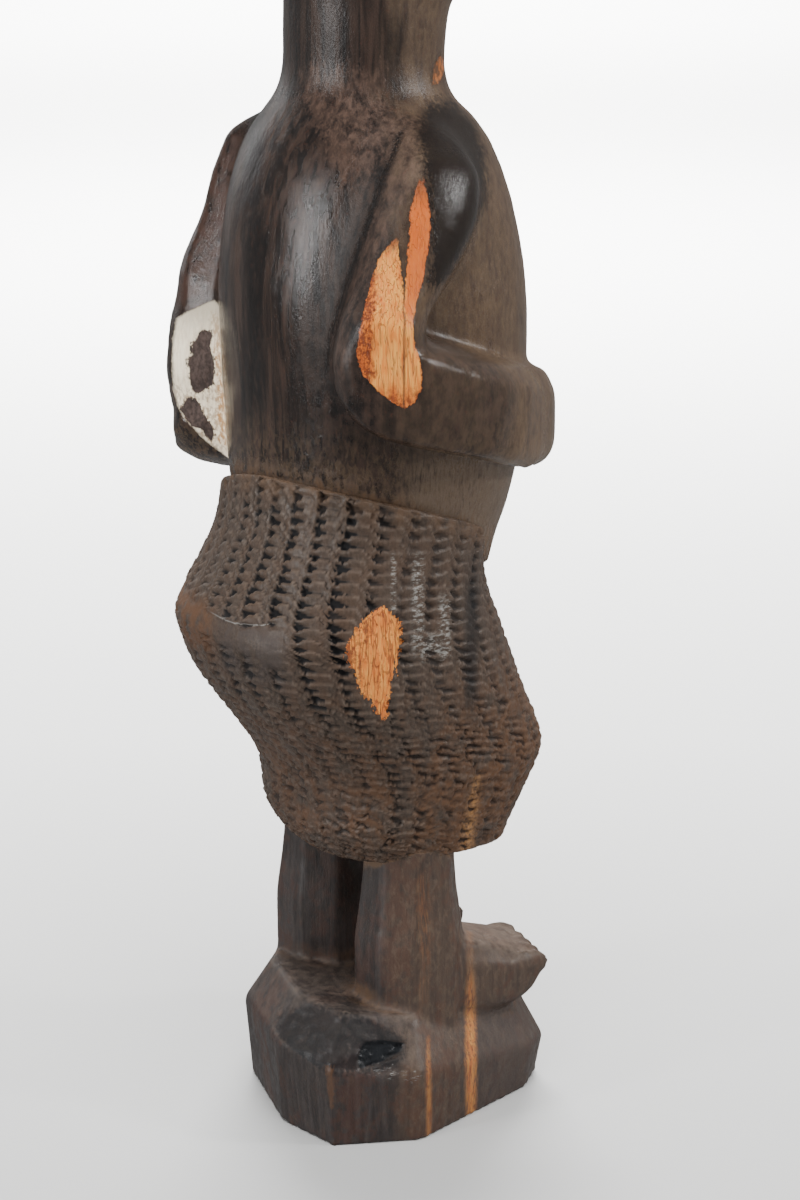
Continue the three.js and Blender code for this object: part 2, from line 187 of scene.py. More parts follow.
BARK_UPPER = Patch(
    rows=(
        (221.4, -43.7, -41.4), (219.4, -45.6, -41.3), (216.8, -47.2, -42.1),
        (214.2, -47.1, -41.1), (212.9, -48.2, -41.0), (209.6, -47.9, -40.8),
        (206.4, -47.7, -41.3), (204.8, -47.2, -43.4), (203.3, -46.6, -45.6),
    ),
    near=-24,
)
BARK_LOWER = Patch(
    rows=(
        (201.8, -48.7, -46.6), (199.9, -50.1, -45.1), (197.9, -50.8, -44.3),
        (196.6, -49.8, -43.4), (195.3, -48.8, -42.4), (194.0, -47.9, -41.8),
        (193.4, -45.1, -41.6), (191.4, -43.7, -41.3), (189.8, -42.5, -41.8),
    ),
    near=-24,
)
FOOT_STREAK = Patch(
    rows=(
        (52.5, 29.4, 31.0), (40.0, 29.4, 31.4), (30.0, 29.3, 31.9), (18.0, 29.2, 32.0),
        (-1.0, 29.7, 32.0),
    ),
    near=8,
    ragged=0.35,
)
BASE_STREAK = Patch(
    rows=((29.0, 18.0, 18.5), (20.0, 17.7, 18.9), (8.0, 17.9, 19.2), (-1.0, 18.0, 18.9)),
    near=8,
    ragged=0.25,
)
LEG_STREAK = Patch(
    rows=((76.0, 16.0, 17.2), (62.0, 15.6, 18.6), (50.0, 16.2, 18.4), (38.0, 16.6, 17.4)),
    near=8,
    ragged=0.5,
)
HEM_STREAK = Patch(
    rows=((104.5, 31.2, 32.4), (97.0, 29.8, 32.2), (88.0, 28.0, 31.4), (80.0, 27.4, 31.0)),
    near=8,
    ragged=0.8,
)
ARM_GROOVE = Patch(
    rows=(
        (281.0, 9.9, 11.4), (275.5, 7.6, 9.2), (272.1, 6.0, 7.6), (264.8, 3.3, 4.9),
        (257.2, 0.6, 2.2), (246.8, -3.1, -1.8), (236.4, -6.3, -5.0), (228.5, -8.4, -7.2),
        (219.0, -9.6, -8.6),
    ),
    near=24,
    ragged=0.5,
)
SHOULDER_BLACK = Patch(
    rows=(
        (287.0, 17.0, 24.0), (280.0, 15.0, 31.0), (272.0, 16.5, 33.0), (262.0, 17.5, 33.0),
        (252.0, 18.0, 27.0), (244.0, 17.0, 22.0),
    ),
    near=6,
    ragged=2.0,
)
ARM_RED = Patch(
    rows=(
        (284.0, 2.0, 14.0), (272.0, 6.0, 15.5), (262.0, 4.0, 9.0), (250.0, -1.0, 3.5),
        (236.0, -6.0, -3.5), (222.0, -7.5, -3.5),
    ),
    near=24,
    ragged=2.0,
)
NAPE_BROWN = Patch(
    rows=(
        (296.0, -16.0, 6.0), (288.0, -14.0, 6.0), (280.0, -10.0, 7.0), (272.0, -7.0, 4.0),
        (268.0, -5.0, 1.0),
    ),
    near=8,
    ragged=3.0,
)
KNOT = Patch(
    rows=((297.6, 20.6, 21.4), (295.8, 19.5, 22.2), (293.2, 19.0, 21.9), (290.9, 18.9, 20.6)),
    near=0,
    ragged=0.25,
)
RIM_SPLIT = Patch(
    rows=(
        (30.2, 1.0, 5.0), (29.0, -0.5, 11.4), (26.8, -1.4, 10.6), (24.4, -1.2, 4.0),
        (23.6, -1.0, 0.5),
    ),
    near=34,
    ragged=0.4,
)
RIM_BLACK = Patch(
    rows=(
        (37.0, -14.0, -2.0), (33.5, -20.0, 5.0), (30.0, -24.0, 11.5), (27.0, -25.0, 12.0),
        (25.0, -19.0, 11.0), (22.6, -9.0, 6.0),
    ),
    near=22,
    ragged=1.4,
)
RIM_SCRATCHES = Patch(
    rows=((24.2, 0.0, 9.0), (22.6, 0.0, 15.0), (20.8, 5.0, 16.6), (19.4, 11.0, 16.0)),
    near=34,
    ragged=1.2,
)
CORNER_WEAR = Patch(
    rows=((25.0, -10.6, -8.2), (19.0, -10.0, -8.0), (12.0, -9.2, -8.2)),
    near=30,
    ragged=0.7,
)


def relax(points: np.ndarray, edges: np.ndarray, weight: np.ndarray, passes: int) -> np.ndarray:
    """Evens out a mesh by moving each point towards the middle of its neighbours.

    Args:
        points: The mesh's points.
        edges: Pairs of neighbours.
        weight: How freely each point moves, 0 to 1.
        passes: How many times.

    Returns:
        The moved points.
    """
    count = len(points)
    first, second = edges[:, 0], edges[:, 1]
    degree = np.bincount(first, minlength=count) + np.bincount(second, minlength=count)
    degree = np.maximum(degree, 1)[:, None]
    share = 0.5 * weight[:, None]
    for _ in range(passes):
        total = np.stack([
            np.bincount(first, points[second, k], count)
            + np.bincount(second, points[first, k], count)
            for k in range(points.shape[1])
        ], -1)
        points = points + share * (total / degree - points)
    return points


def settle(points: np.ndarray, edges: np.ndarray, passes: int) -> np.ndarray:
    """Takes the small steps out of a mesh and keeps its forms and edges.

    Args:
        points: The mesh's points.
        edges: Pairs of neighbours.
        passes: How many times it is evened out and swollen again.

    Returns:
        The moved points.
    """
    free = np.ones(len(points))
    for _ in range(passes):
        points = relax(points, edges, 1.2 * free, 1)
        points = relax(points, edges, -1.25 * free, 1)
    return points


@dataclass
class FineMesh:
    """A piece's mesh as arrays, in millimetres, while it is shaped."""

    mesh: bpy.types.Mesh

    def __post_init__(self) -> None:
        """Reads the points and the edges."""
        flat = np.empty(len(self.mesh.vertices) * 3)
        self.mesh.vertices.foreach_get("co", flat)
        self.points = flat.reshape(-1, 3) / MM
        pairs = np.empty(len(self.mesh.edges) * 2, int)
        self.mesh.edges.foreach_get("vertices", pairs)
        self.edges = pairs.reshape(-1, 2)

    def store(self) -> None:
        """Writes the points back to the mesh."""
        self.mesh.vertices.foreach_set("co", (self.points * MM).ravel())
        self.mesh.update()

    def normals(self) -> np.ndarray:
        """Writes the points back and reads the surface's outward directions.

        Returns:
            A direction for each point.
        """
        self.store()
        flat = np.empty(len(self.mesh.vertices) * 3)
        self.mesh.vertex_normals.foreach_get("vector", flat)
        return flat.reshape(-1, 3)

    def plainness(self, low: float, high: float) -> np.ndarray:
        """1 where the surface is plain, falling to 0 at creases and edges.

        Args:
            low: Turn of the surface that still counts as plain.
            high: Turn that counts as an edge.

        Returns:
            A number for each point.
        """
        normals = self.normals()
        wide = relax(normals, self.edges, np.ones(len(normals)), 8)
        wide /= np.linalg.norm(wide, axis=1, keepdims=True) + 1e-9
        turn = 1 - (normals * wide).sum(1)
        return ramp(turn, high, low)

    def attribute(self, name: str, values: np.ndarray) -> None:
        """Stores one number per point for the finish to read."""
        layer = self.mesh.attributes.new(name, "FLOAT", "POINT")
        layer.data.foreach_set("value", values.astype(np.float32))

    def shade_hollows(self, solid: BVHTree, reach: float = 9.0) -> None:
        """Stores how deep in a hollow each point lies, for the dust in the finish.

        Args:
            solid: The whole figure.
            reach: How far across a hollow to look, in millimetres.
        """
        depth = self.hollows(solid, reach)[:, None]
        self.attribute("hollow", relax(depth, self.edges, np.ones(len(depth)), 4)[:, 0])

    def hollows(self, solid: BVHTree, reach: float) -> np.ndarray:
        """How much of the space in front of each point the carving itself takes up.

        Args:
            solid: The whole figure.
            reach: How far to look, in millimetres.

        Returns:
            0 in the open to 1 in a closed hollow.
        """
        normals = self.normals()
        rays = [Vector((0, 0, 1))]
        # Two rings of rays round the outward one: their tilt in degrees, and how many.
        for tilt, count in ((40, 5), (68, 7)):
            for k in range(count):
                turn = 2 * math.pi * k / count + tilt
                slope = math.radians(tilt)
                rays.append(Vector((
                    math.sin(slope) * math.cos(turn),
                    math.sin(slope) * math.sin(turn),
                    math.cos(slope),
                )))
        found = np.zeros(len(self.points))
        for i, (point, normal) in enumerate(zip(self.points, normals)):
            up = Vector(normal)
            turned = up.to_track_quat("Z", "X")
            start = (Vector(point) + up * 1.0) * MM
            hits = 0.0
            for ray in rays:
                distance = solid.ray_cast(start, turned @ ray, reach * MM)[3]
                if distance is not None:
                    hits += 1 - 0.5 * distance / (reach * MM)
            found[i] = hits / len(rays)
        return found


def make_piece(
    name: str, bm: bmesh.types.BMesh, finish: "bpy.types.Material | None" = None
) -> bpy.types.Object:
    """Turns a mesh in work into a smooth-shaded object.

    Args:
        name: The object's name.
        bm: Its mesh, which is freed.
        finish: Its material, if it has one.

    Returns:
        The object, linked to the scene.
    """
    mesh = bpy.data.meshes.new(name)
    bm.to_mesh(mesh)
    bm.free()
    mesh.polygons.foreach_set("use_smooth", [True] * len(mesh.polygons))
    if finish is not None:
        mesh.materials.append(finish)
    piece = bpy.data.objects.new(name, mesh)
    bpy.context.collection.objects.link(piece)
    return piece


def whole_solid() -> bmesh.types.BMesh:
    """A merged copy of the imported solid.

    Returns:
        A new mesh, in metres.
    """
    bm = bmesh.new()
    bm.from_mesh(bpy.data.objects["figure"].data)
    bmesh.ops.remove_doubles(bm, verts=bm.verts[:], dist=0.002 * MM)
    return bm


def cut_off(
    bm: bmesh.types.BMesh, point: Vector, away: Vector, tongue: Vector, narrow: float = 0.0
) -> None:
    """Cuts a mesh by a plane, and closes it with a tongue that reaches into the skirt.

    Args:
        bm: The mesh.
        point: A point of the plane.
        away: Direction of what is cut off.
        tongue: How far the cut is drawn out.
        narrow: How much smaller the tongue's end is, as a share.
    """
    everything = bm.verts[:] + bm.edges[:] + bm.faces[:]
    bmesh.ops.bisect_plane(bm, geom=everything, plane_co=point, plane_no=away, clear_outer=True)
    rim = [e for e in bm.edges if e.is_boundary]
    drawn = bmesh.ops.extrude_edge_only(bm, edges=rim)["geom"]
    ends = [v for v in drawn if isinstance(v, bmesh.types.BMVert)]
    bmesh.ops.translate(bm, verts=ends, vec=tongue)
    middle = sum((v.co for v in ends), Vector()) / len(ends)
    for vertex in ends:
        vertex.co = vertex.co.lerp(middle, narrow)
    bmesh.ops.holes_fill(bm, edges=[e for e in bm.edges if e.is_boundary], sides=0)
    bmesh.ops.recalc_face_normals(bm, faces=bm.faces[:])


def remeshed(
    name: str, bm: bmesh.types.BMesh, voxel: float, finish: bpy.types.Material
) -> bpy.types.Object:
    """An even fine mesh over a closed one.

    Args:
        name: Name of the new piece.
        bm: The closed mesh, which is freed.
        voxel: Size of its new faces in millimetres.
        finish: Its material.

    Returns:
        The piece.
    """
    rough = make_piece(f"{name}_rough", bm)
    even = rough.modifiers.new("even", "REMESH")
    even.mode = "VOXEL"
    even.voxel_size = voxel * MM
    even.adaptivity = 0.0
    view = rough.evaluated_get(bpy.context.evaluated_depsgraph_get())
    fine = bmesh.new()
    fine.from_mesh(view.to_mesh())
    view.to_mesh_clear()
    bpy.data.objects.remove(rough)
    return make_piece(name, fine, finish)


def wander(points: np.ndarray, size: tuple, seed: float) -> np.ndarray:
    """Smooth random numbers from -1 to 1 at each point.

    Args:
        points: Points in millimetres.
        size: Width, depth and height of one wave, in millimetres.
        seed: Picks another pattern.

    Returns:
        A number for each point.
    """
    scaled = points / np.array(size) + seed
    return np.array([perlin.noise(Vector(p)) for p in scaled])


@dataclass
class UpperBody:
    """Torso, arms, neck and head, polished.

    Sizes are millimetres, and the waist's height is on the middle line. Below the waist a tongue
    reaches into the skirt. Settling and polish are passes that even out the surface, and the
    limbs get a share of the trunk's polish.
    """

    voxel: float = 1.0
    waist_height: float = 175.1
    tongue: float = 9.0
    tongue_narrowing: float = 0.05
    polish: int = 90
    limb_polish: float = 0.12
    shoulder_polish: int = 90
    arm_fullness: float = 2.8
    arm_outward: tuple = (0.559, 0.829, 0.0)
    settling: int = 6
    feature_polish: int = 1

    def build(self, finish: "Blackwood", solid: BVHTree) -> bpy.types.Object:
        """The finished piece.

        Args:
            finish: The wood it is dressed in.
            solid: The whole figure, which shades the hollows.

        Returns:
            The piece, ready to ride.
        """
        bm = whole_solid()
        down = Vector((WAIST_FALL, WAIST_RISE, -1)).normalized()
        point = Vector((0, 0, self.waist_height * MM))
        cut_off(bm, point, down, Vector((0, 0, -self.tongue * MM)), self.tongue_narrowing)
        piece = remeshed("torso_arms_head", bm, self.voxel, finish.material(Surface.POLISHED))
        fine = FineMesh(piece.data)
        fine.points = settle(fine.points, fine.edges, self.settling)
        everywhere = np.ones(len(fine.points))
        fine.points = relax(fine.points, fine.edges, everywhere, self.feature_polish)
        free = np.maximum(self.limb_polish * fine.plainness(0.002, 0.007), self.trunk(fine.points))
        free = np.maximum(free, 0.7 * ARM_GROOVE.cover(fine.points, 3.0))
        free = relax(free[:, None], fine.edges, np.ones(len(free)), 3)[:, 0]
        fine.points = relax(fine.points, fine.edges, free, self.polish)
        x, _, z = fine.points.T
        shoulder = ramp(z, 236, 250) * ramp(z, 290, 280) * ramp(x, -26, -32)
        fine.points = relax(fine.points, fine.edges, shoulder, self.shoulder_polish)
        self.fill_out(fine)
        self.mark(fine)
        fine.shade_hollows(solid)
        fine.store()
        return piece

    def trunk(self, points: np.ndarray) -> np.ndarray:
        """Finds the round back and neck, which are polished freely.

        Args:
            points: Points in millimetres.

        Returns:
            1 on the back and neck and 0 elsewhere, for each point.
        """
        x, y, z = points.T
        back = ramp(np.abs(x), 35, 29) * ramp(y, -4, 6) * ramp(z, 300, 285)
        neck = ramp(np.abs(x), 34, 28) * ramp(z, 284, 292) * ramp(z, 322, 312)
        return np.maximum(back, neck)

    def fill_out(self, fine: FineMesh) -> None:
        """Rounds the outer side of the left upper arm.

        Args:
            fine: The mesh in work.
        """
        x, _, z = fine.points.T
        full = ramp(x, 33, 42) * ramp(z, 226, 244) * ramp(z, 290, 272)
        fine.points = fine.points + full[:, None] * self.arm_fullness * np.array(self.arm_outward)

    def mark(self, fine: FineMesh) -> None:
        """Cuts the polisher's uneven touches and the bark left on the far elbow.

        Args:
            fine: The mesh in work.
        """
        points, normals = fine.points, fine.normals()
        touch = 0.16 * wander(points, (8, 8, 20), 3.1) + 0.07 * wander(points, (2.6, 2.6, 6), 8.7)
        depth = -touch
        knot = KNOT.cover(points, 0.5) * (0.5 + 0.5 * wander(points, (0.9, 0.9, 1.2), 2.9))
        depth += knot * ramp(points[:, 2], 280, 284)
        bark = np.maximum(BARK_UPPER.cover(points), BARK_LOWER.cover(points)) * (points[:, 0] > 27)
        crumb = wander(points, (1.6, 1.6, 2.4), 5.3)
        depth += bark * (0.35 + 0.45 * crumb)
        fine.points = points - normals * np.maximum(depth, -0.1)[:, None]


@dataclass
class LowerBody:
    """Legs, feet and base, left from the knife.

    Sizes are millimetres. Above the hem a tongue reaches into the skirt. Settling and paring are
    passes that even out the surface.
    """

    voxel: float = 0.74
    hem: float = 75.3
    tongue: float = 8.0
    settling: int = 10
    paring: int = 12

    def build(self, finish: "Blackwood", solid: BVHTree) -> bpy.types.Object:
        """The finished piece.

        Args:
            finish: The wood it is dressed in.
            solid: The whole figure, which shades the hollows.

        Returns:
            The piece, ready to ride.
        """
        bm = whole_solid()
        up = Vector((0, 0, 1))
        cut_off(bm, up * (self.hem * MM), up, up * (self.tongue * MM))
        piece = remeshed("legs_feet_base", bm, self.voxel, finish.material(Surface.PARED))
        fine = FineMesh(piece.data)
        fine.points = settle(fine.points, fine.edges, self.settling)
        plain = fine.plainness(0.003, 0.015)
        fine.points = relax(fine.points, fine.edges, plain, self.paring)
        self.mark(fine)
        fine.shade_hollows(solid)
        fine.points[:, 2] = np.maximum(fine.points[:, 2], 0.0)
        fine.store()
        return piece

    def mark(self, fine: FineMesh) -> None:
        """Cuts the knife's facets and the split on the base's rim.

        Args:
            fine: The mesh in work.
        """
        points, normals = fine.points, fine.normals()
        touch = 0.09 * wander(points, (7, 7, 22), 1.7) + 0.04 * wander(points, (2.2, 2.2, 4), 4.4)
        low = ramp(points[:, 2], 0.0, 2.0)
        split = RIM_SPLIT.cover(points, 0.35) * (1.0 + 1.2 * wander(points, (2.2, 2.2, 0.7), 6.2))
        rough = RIM_BLACK.cover(points, 2.0) * (0.25 + 0.35 * wander(points, (3, 3, 2), 2.6))
        scratch = 0.2 + 0.35 * wander(points, (2.5, 2.5, 0.8), 9.6)
        rough += RIM_SCRATCHES.cover(points, 1.0) * scratch
        depth = np.maximum(0.06 - touch, 0.0) * low
        depth += np.maximum(split, 0.0) + np.maximum(rough, 0.0)
        fine.points = points - normals * depth[:, None]


@dataclass
class CarvedSkirt:
    """The short skirt, cut all over in columns of small wing-shaped chips.

    Sizes are millimetres. The rings run from the hem to the waist, each one given by where it
    lies at the back and at the front, as distance behind the leg line and height, and by half
    its width. The mesh has so many faces across a column, rows from hem to waist, and rows
    drawn in at each end. The random draws repeat after so many rows of cuts.
    """

    rings: tuple = (
        (25.5, 76, -29.8, 76, 33.5),
        (29.5, 81, -31.8, 82, 35),
        (32.2, 87, -34.6, 88, 36.6),
        (32.6, 94, -37.8, 95, 38.2),
        (34.6, 102, -41.8, 104, 39.8),
        (41, 112, -39.6, 112, 41.2),
        (47.6, 121, -35.6, 120, 42.3),
        (54.2, 131, -32.2, 128, 43.2),
        (58.4, 142, -28.4, 137, 43.6),
        (59.2, 148, -25.6, 144, 43.6),
        (56.2, 155, -22.8, 150, 43),
        (51, 164, -21, 156, 42),
        (46.4, 175, -21.6, 159, 41.2),
        (44.6, 188, -23.6, 161, 41),
    )
    squareness: float = 2.6
    waist_squareness: float = 2.2
    side_fall: float = 0.14
    flank_rise: float = 3.0
    waist_fillet: float = 1.6
    columns: int = 30
    row_pitch: float = 3.15
    overlap: float = 0.2
    across: int = 16
    rows: int = 195
    cap_rows: int = 5
    inset: float = 0.35
    chip_depth: float = 1.9
    stab_pitch: float = 2.9
    stab_depth: float = 0.7
    seed: int = 7
    drawn_rows: int = 512
    drawn_stabs: int = 128

    def section(self, t: np.ndarray) -> list:
        """Joins the rings smoothly.

        Args:
            t: Place between hem and waist, 0 to 1.

        Returns:
            The ring's five sizes at each t.
        """
        table = np.array(self.rings, float)
        last = len(table) - 1
        i = np.minimum(np.floor(t * last), last - 1).astype(int)
        f = (t * last - i)[:, None]
        a, b, c, d = (table[np.clip(i + k, 0, last)] for k in (-1, 0, 1, 2))
        slope_in, slope_out = (c - a) / 2, (d - b) / 2
        value = (2 * f**3 - 3 * f**2 + 1) * b + (f**3 - 2 * f**2 + f) * slope_in
        value += (3 * f**2 - 2 * f**3) * c + (f**3 - f**2) * slope_out
        return list(value.T)

    def skin(self, angle: np.ndarray, t: np.ndarray) -> np.ndarray:
        """Points of the uncut skirt.

        Args:
            angle: Direction round the skirt, from +X towards the back.
            t: Place between hem and waist, 0 to 1.

        Returns:
            An array of points, in millimetres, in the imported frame.
        """
        back_y, back_z, front_y, front_z, width = self.section(t)
        square = self.squareness + (self.waist_squareness - self.squareness) * t**3
        depth = (back_y - front_y) / 2
        cosine, sine = np.cos(angle), np.sin(angle)
        reach = (np.abs(cosine / width) ** square + np.abs(sine / depth) ** square) ** (-1 / square)
        x = cosine * reach
        rise = self.flank_rise * cosine**2 * (1 - t) ** 4 - self.side_fall * x * t**4
        y = (back_y + front_y) / 2 + sine * reach + LEG_LINE_Y
        z = front_z + (back_z - front_z) * (1 + sine) / 2 + rise
        return np.stack([x, y, z], -1)

    def normal(self, angle: np.ndarray, t: np.ndarray) -> np.ndarray:
        """Outward directions of the uncut skirt.

        Args:
            angle: Direction round the skirt, as for skin.
            t: Place between hem and waist, 0 to 1.

        Returns:
            A direction for each point.
        """
        step = 1e-3
        round_it = self.skin(angle + step, t) - self.skin(angle - step, t)
        up_it = self.skin(angle, np.minimum(t + step, 1))
        up_it -= self.skin(angle, np.maximum(t - step, 0))
        outward = np.cross(round_it, up_it)
        return outward / np.linalg.norm(outward, axis=-1, keepdims=True)

    def drop(self, angle: np.ndarray, t: np.ndarray) -> np.ndarray:
        """Measures down the skirt from its waist, on a coarse net of its skin.

        Args:
            angle: Direction round the skirt.
            t: Place between hem and waist, 0 to 1.

        Returns:
            The length from the waist to each point, in millimetres.
        """
        steps = np.linspace(0.0, 1.0, 81)
        angles = np.linspace(0.0, 2 * math.pi, 73)
        a, s = np.meshgrid(angles, steps, indexing="ij")
        points = self.skin(a.ravel(), s.ravel()).reshape(a.shape + (3,))
        length = np.linalg.norm(np.diff(points, axis=1), axis=-1)
        run = np.concatenate([np.zeros((len(angles), 1)), np.cumsum(length, axis=1)], 1)
        below = run[:, -1:] - run
        i = np.mod(angle, 2 * math.pi) / (2 * math.pi) * (len(angles) - 1)
        j = t * (len(steps) - 1)
        i0 = np.minimum(i.astype(int), len(angles) - 2)
        j0 = np.minimum(j.astype(int), len(steps) - 2)
        fi, fj = i - i0, j - j0
        low = below[i0, j0] * (1 - fi) + below[i0 + 1, j0] * fi
        high = below[i0, j0 + 1] * (1 - fi) + below[i0 + 1, j0 + 1] * fi
        return low * (1 - fj) + high * fj

    def wings(self, place: np.ndarray, down: np.ndarray) -> tuple:
        """The wing cuts.

        Each column is a stack of wings like upturned scales. The proud top edge of a wing rises
        gently from its left tip to a crest and curls steeply down to its right tip, which laps
        over the next column. Behind that edge a chip is out, deepest under the left tip of the
        wing above. The rows of neighbouring columns alternate.

        Args:
            place: Place round the skirt, in columns.
            down: Length from the waist, in millimetres.

        Returns:
            For each point its depth, its painted shade, black in the pits and dark just behind
            each wing's edge, and how near a wing's top edge, each from 0 to about 1.
        """
        random = np.random.default_rng(self.seed)
        start = random.uniform(-0.2, 0.2, self.columns)
        start[1::2] += 0.5
        level = 200.0 - down / self.row_pitch

        def tip(column: np.ndarray) -> np.ndarray:
            """How far the right tips of a column lap over the next one.

            Args:
                column: The column at each point.

            Returns:
                The overlap, in columns.
            """
            height = np.mod(level + start[column % self.columns] + 1.15, 1)
            return self.overlap * (1 - height) ** 1.5

        here = np.floor(place).astype(int)
        column = np.where(place >= here + tip(here - 1), here, here - 1)
        begin = column + tip(column - 1)
        u = (place - begin) / (column + 1 + tip(column) - begin)
        column = column % self.columns
        crest = (0.56 + random.uniform(-0.07, 0.07, self.columns))[column]
        left = 0.55 * np.clip(1 - u / crest, 0, 1) ** 1.2
        right = 1.15 * np.clip((u - crest) / (1 - crest), 0, 1) ** 1.5
        up = level + start[column] + np.where(u < crest, left, right)
        row = np.floor(up).astype(int)
        f = up - row
        drawn = (self.columns, self.drawn_rows)
        spot = (column, row % self.drawn_rows)
        luck = random.uniform(0.5, 1.1, drawn)[spot]
        slope = random.uniform(0.9, 1.6, drawn)[spot]
        open_to = random.uniform(0.65, 1.1, drawn)[spot]
        reach = open_to * np.maximum(1 - u / 0.5, 0.6 * np.clip((u - 0.8) / 0.2, 0, 1))
        pit_and_shade = np.clip((reach - f) / 0.2, 0, 1)
        scale = (1 - f) ** slope * (0.55 + 0.2 * np.clip(u - crest, 0, 1))
        depth = luck * np.maximum(pit_and_shade, scale)
        # The top edge, which the finish paints with wear and a painted highlight.
        lip_wear_and_highlight = ramp(f, 0.72, 0.95) * (0.35 + 0.65 * ramp(u, 0.35, 0.6)) * luck * (1 - pit_and_shade)
        # Painted shade: black in the pits and a dark band just behind each wing's edge.
        shade = np.maximum(pit_and_shade, 0.55 * np.clip(1 - f / 0.35, 0, 1))
        return depth, shade * np.minimum(1.2 * luck, 1), lip_wear_and_highlight

    def stabs(self, place: np.ndarray, down: np.ndarray) -> np.ndarray:
        """The single short stabs that cover the lower skirt.

        Args:
            place: Place round the skirt, in columns.
            down: Length from the waist, in millimetres.

        Returns:
            Their depth at each point, 0 to about 1.
        """
        random = np.random.default_rng(self.seed + 1)
        wide = place * 1.7
        row = np.floor(down / self.stab_pitch).astype(int)
        v = down / self.stab_pitch - row
        shift = random.uniform(-0.15, 0.15, self.drawn_rows)[row % self.drawn_rows]
        wide = wide + 0.5 * (row % 2) + shift
        cell = np.floor(wide).astype(int)
        u = wide - cell
        drawn = (self.drawn_stabs, self.drawn_rows)
        spot = (cell % self.drawn_stabs, row % self.drawn_rows)
        luck = random.uniform(0.35, 1.1, drawn)[spot]
        lean = random.uniform(-0.25, 0.25, drawn)[spot]
        flip = random.uniform(0, 1, drawn)[spot] > 0.5
        u = np.where(flip, 1 - u, u)
        middle = 0.5 + lean * (u - 0.5)
        half = 0.5 * np.clip((u - 0.04) / 0.8, 0, 1)
        notch = np.clip(1 - np.abs(v - middle) / np.maximum(half, 0.02), 0, 1) ** 0.7
        return luck * notch * np.clip((u - 0.04) / 0.7, 0, 1) * ramp(u, 0.96, 0.9)

    def cut(self, angle: np.ndarray, t: np.ndarray, points: np.ndarray) -> tuple:
        """The whole carving.

        Args:
            angle: Direction round the skirt.
            t: Place between hem and waist.
            points: The uncut points.

        Returns:
            Its depth at each point, in millimetres, its painted shade in the pits, behind the wing
            edges and in the stabs, and how near a wing's edge, from 0 to 1.
        """
        upper = ramp(t, 0.42, 0.66)
        drift = wander(points, (17, 17, 28), 2.2)
        place = np.mod(angle, 2 * math.pi) / (2 * math.pi) * self.columns + 0.18 * drift
        place += (0.24 - 0.14 * upper) * wander(points, (5, 5, 6), 4.1)
        place += 0.45 * (1 - upper) * wander(points, (2.4, 2.4, 1.7), 5.6)
        down = self.drop(angle, t) + 0.6 * wander(points, (6, 6, 24), 6.4)
        down += 1.1 * (1 - upper) * wander(points, (4.5, 4.5, 9), 8.4)
        seat = ramp(np.abs(np.degrees(np.mod(angle, 2 * math.pi)) - 122), 52, 16)
        deep = 0.6 + 0.4 * upper * seat
        worn = 1 - 0.35 * ramp(wander(points, (14, 14, 10), 9.1), 0.2, 0.6) * (1 - upper * seat)
        smooth_seat, crease = self.smooth_seat(points)
        ends = ramp(t, 1.0, 0.992) * ramp(t, -0.01, 0.015)
        wing, pit_and_shade, lip_wear_and_highlight = self.wings(place, down)
        wings = self.chip_depth * wing * deep * worn
        stabs = self.stab_depth * self.stabs(place, down) * ramp(t, 0.7, 0.4)
        scar = SKIRT_SCAR.cover(points, 0.8)
        carved = (np.maximum(wings, stabs) + 0.4 * np.minimum(wings, stabs)) * ends
        plain = (1 - 0.92 * smooth_seat) * (1 - scar)
        carved = carved * plain + scar * (0.35 + 0.35 * wander(points, (1.2, 1.2, 5), 3.3))
        carved += 0.5 * smooth_seat * ramp(points[:, 2], 142, crease)
        round_rim = 0.4 * ramp(t, 0.985, 1.0) ** 2 + 0.7 * ramp(t, 0.03, 0.0) ** 2
        grain = 0.07 * wander(points, (0.9, 0.9, 3), 7.7)
        depth = np.maximum(self.inset + carved + round_rim + grain, 0.05)
        # Painted shade in the pits and the stabs.
        shade = np.maximum(pit_and_shade * (0.5 + 0.5 * upper * seat), 0.5 * stabs / self.stab_depth)
        return depth, shade * plain * ends, lip_wear_and_highlight * plain * worn

    def smooth_seat(self, points: np.ndarray) -> tuple:
        """The seat under its crease, which is left nearly uncut.

        Args:
            points: The uncut points.

        Returns:
            How far each point lies in it, 0 to 1, and the height of the crease above the point.
        """
        side, height = across(points), points[:, 2]
        sag = CREASE_SAG * (0.1 * (side - CREASE_MIDDLE)) ** 2
        crease = CREASE_HEIGHT + CREASE_SLOPE * (side - CREASE_START) + sag
        smooth = ramp(height, crease + 0.8, crease - 0.8) * ramp(side, -17, -23)
        smooth *= ramp(height, 141 - 0.2 * (side + 40), 147 - 0.2 * (side + 40))
        return smooth * ramp(points[:, 0], 42, 36), crease

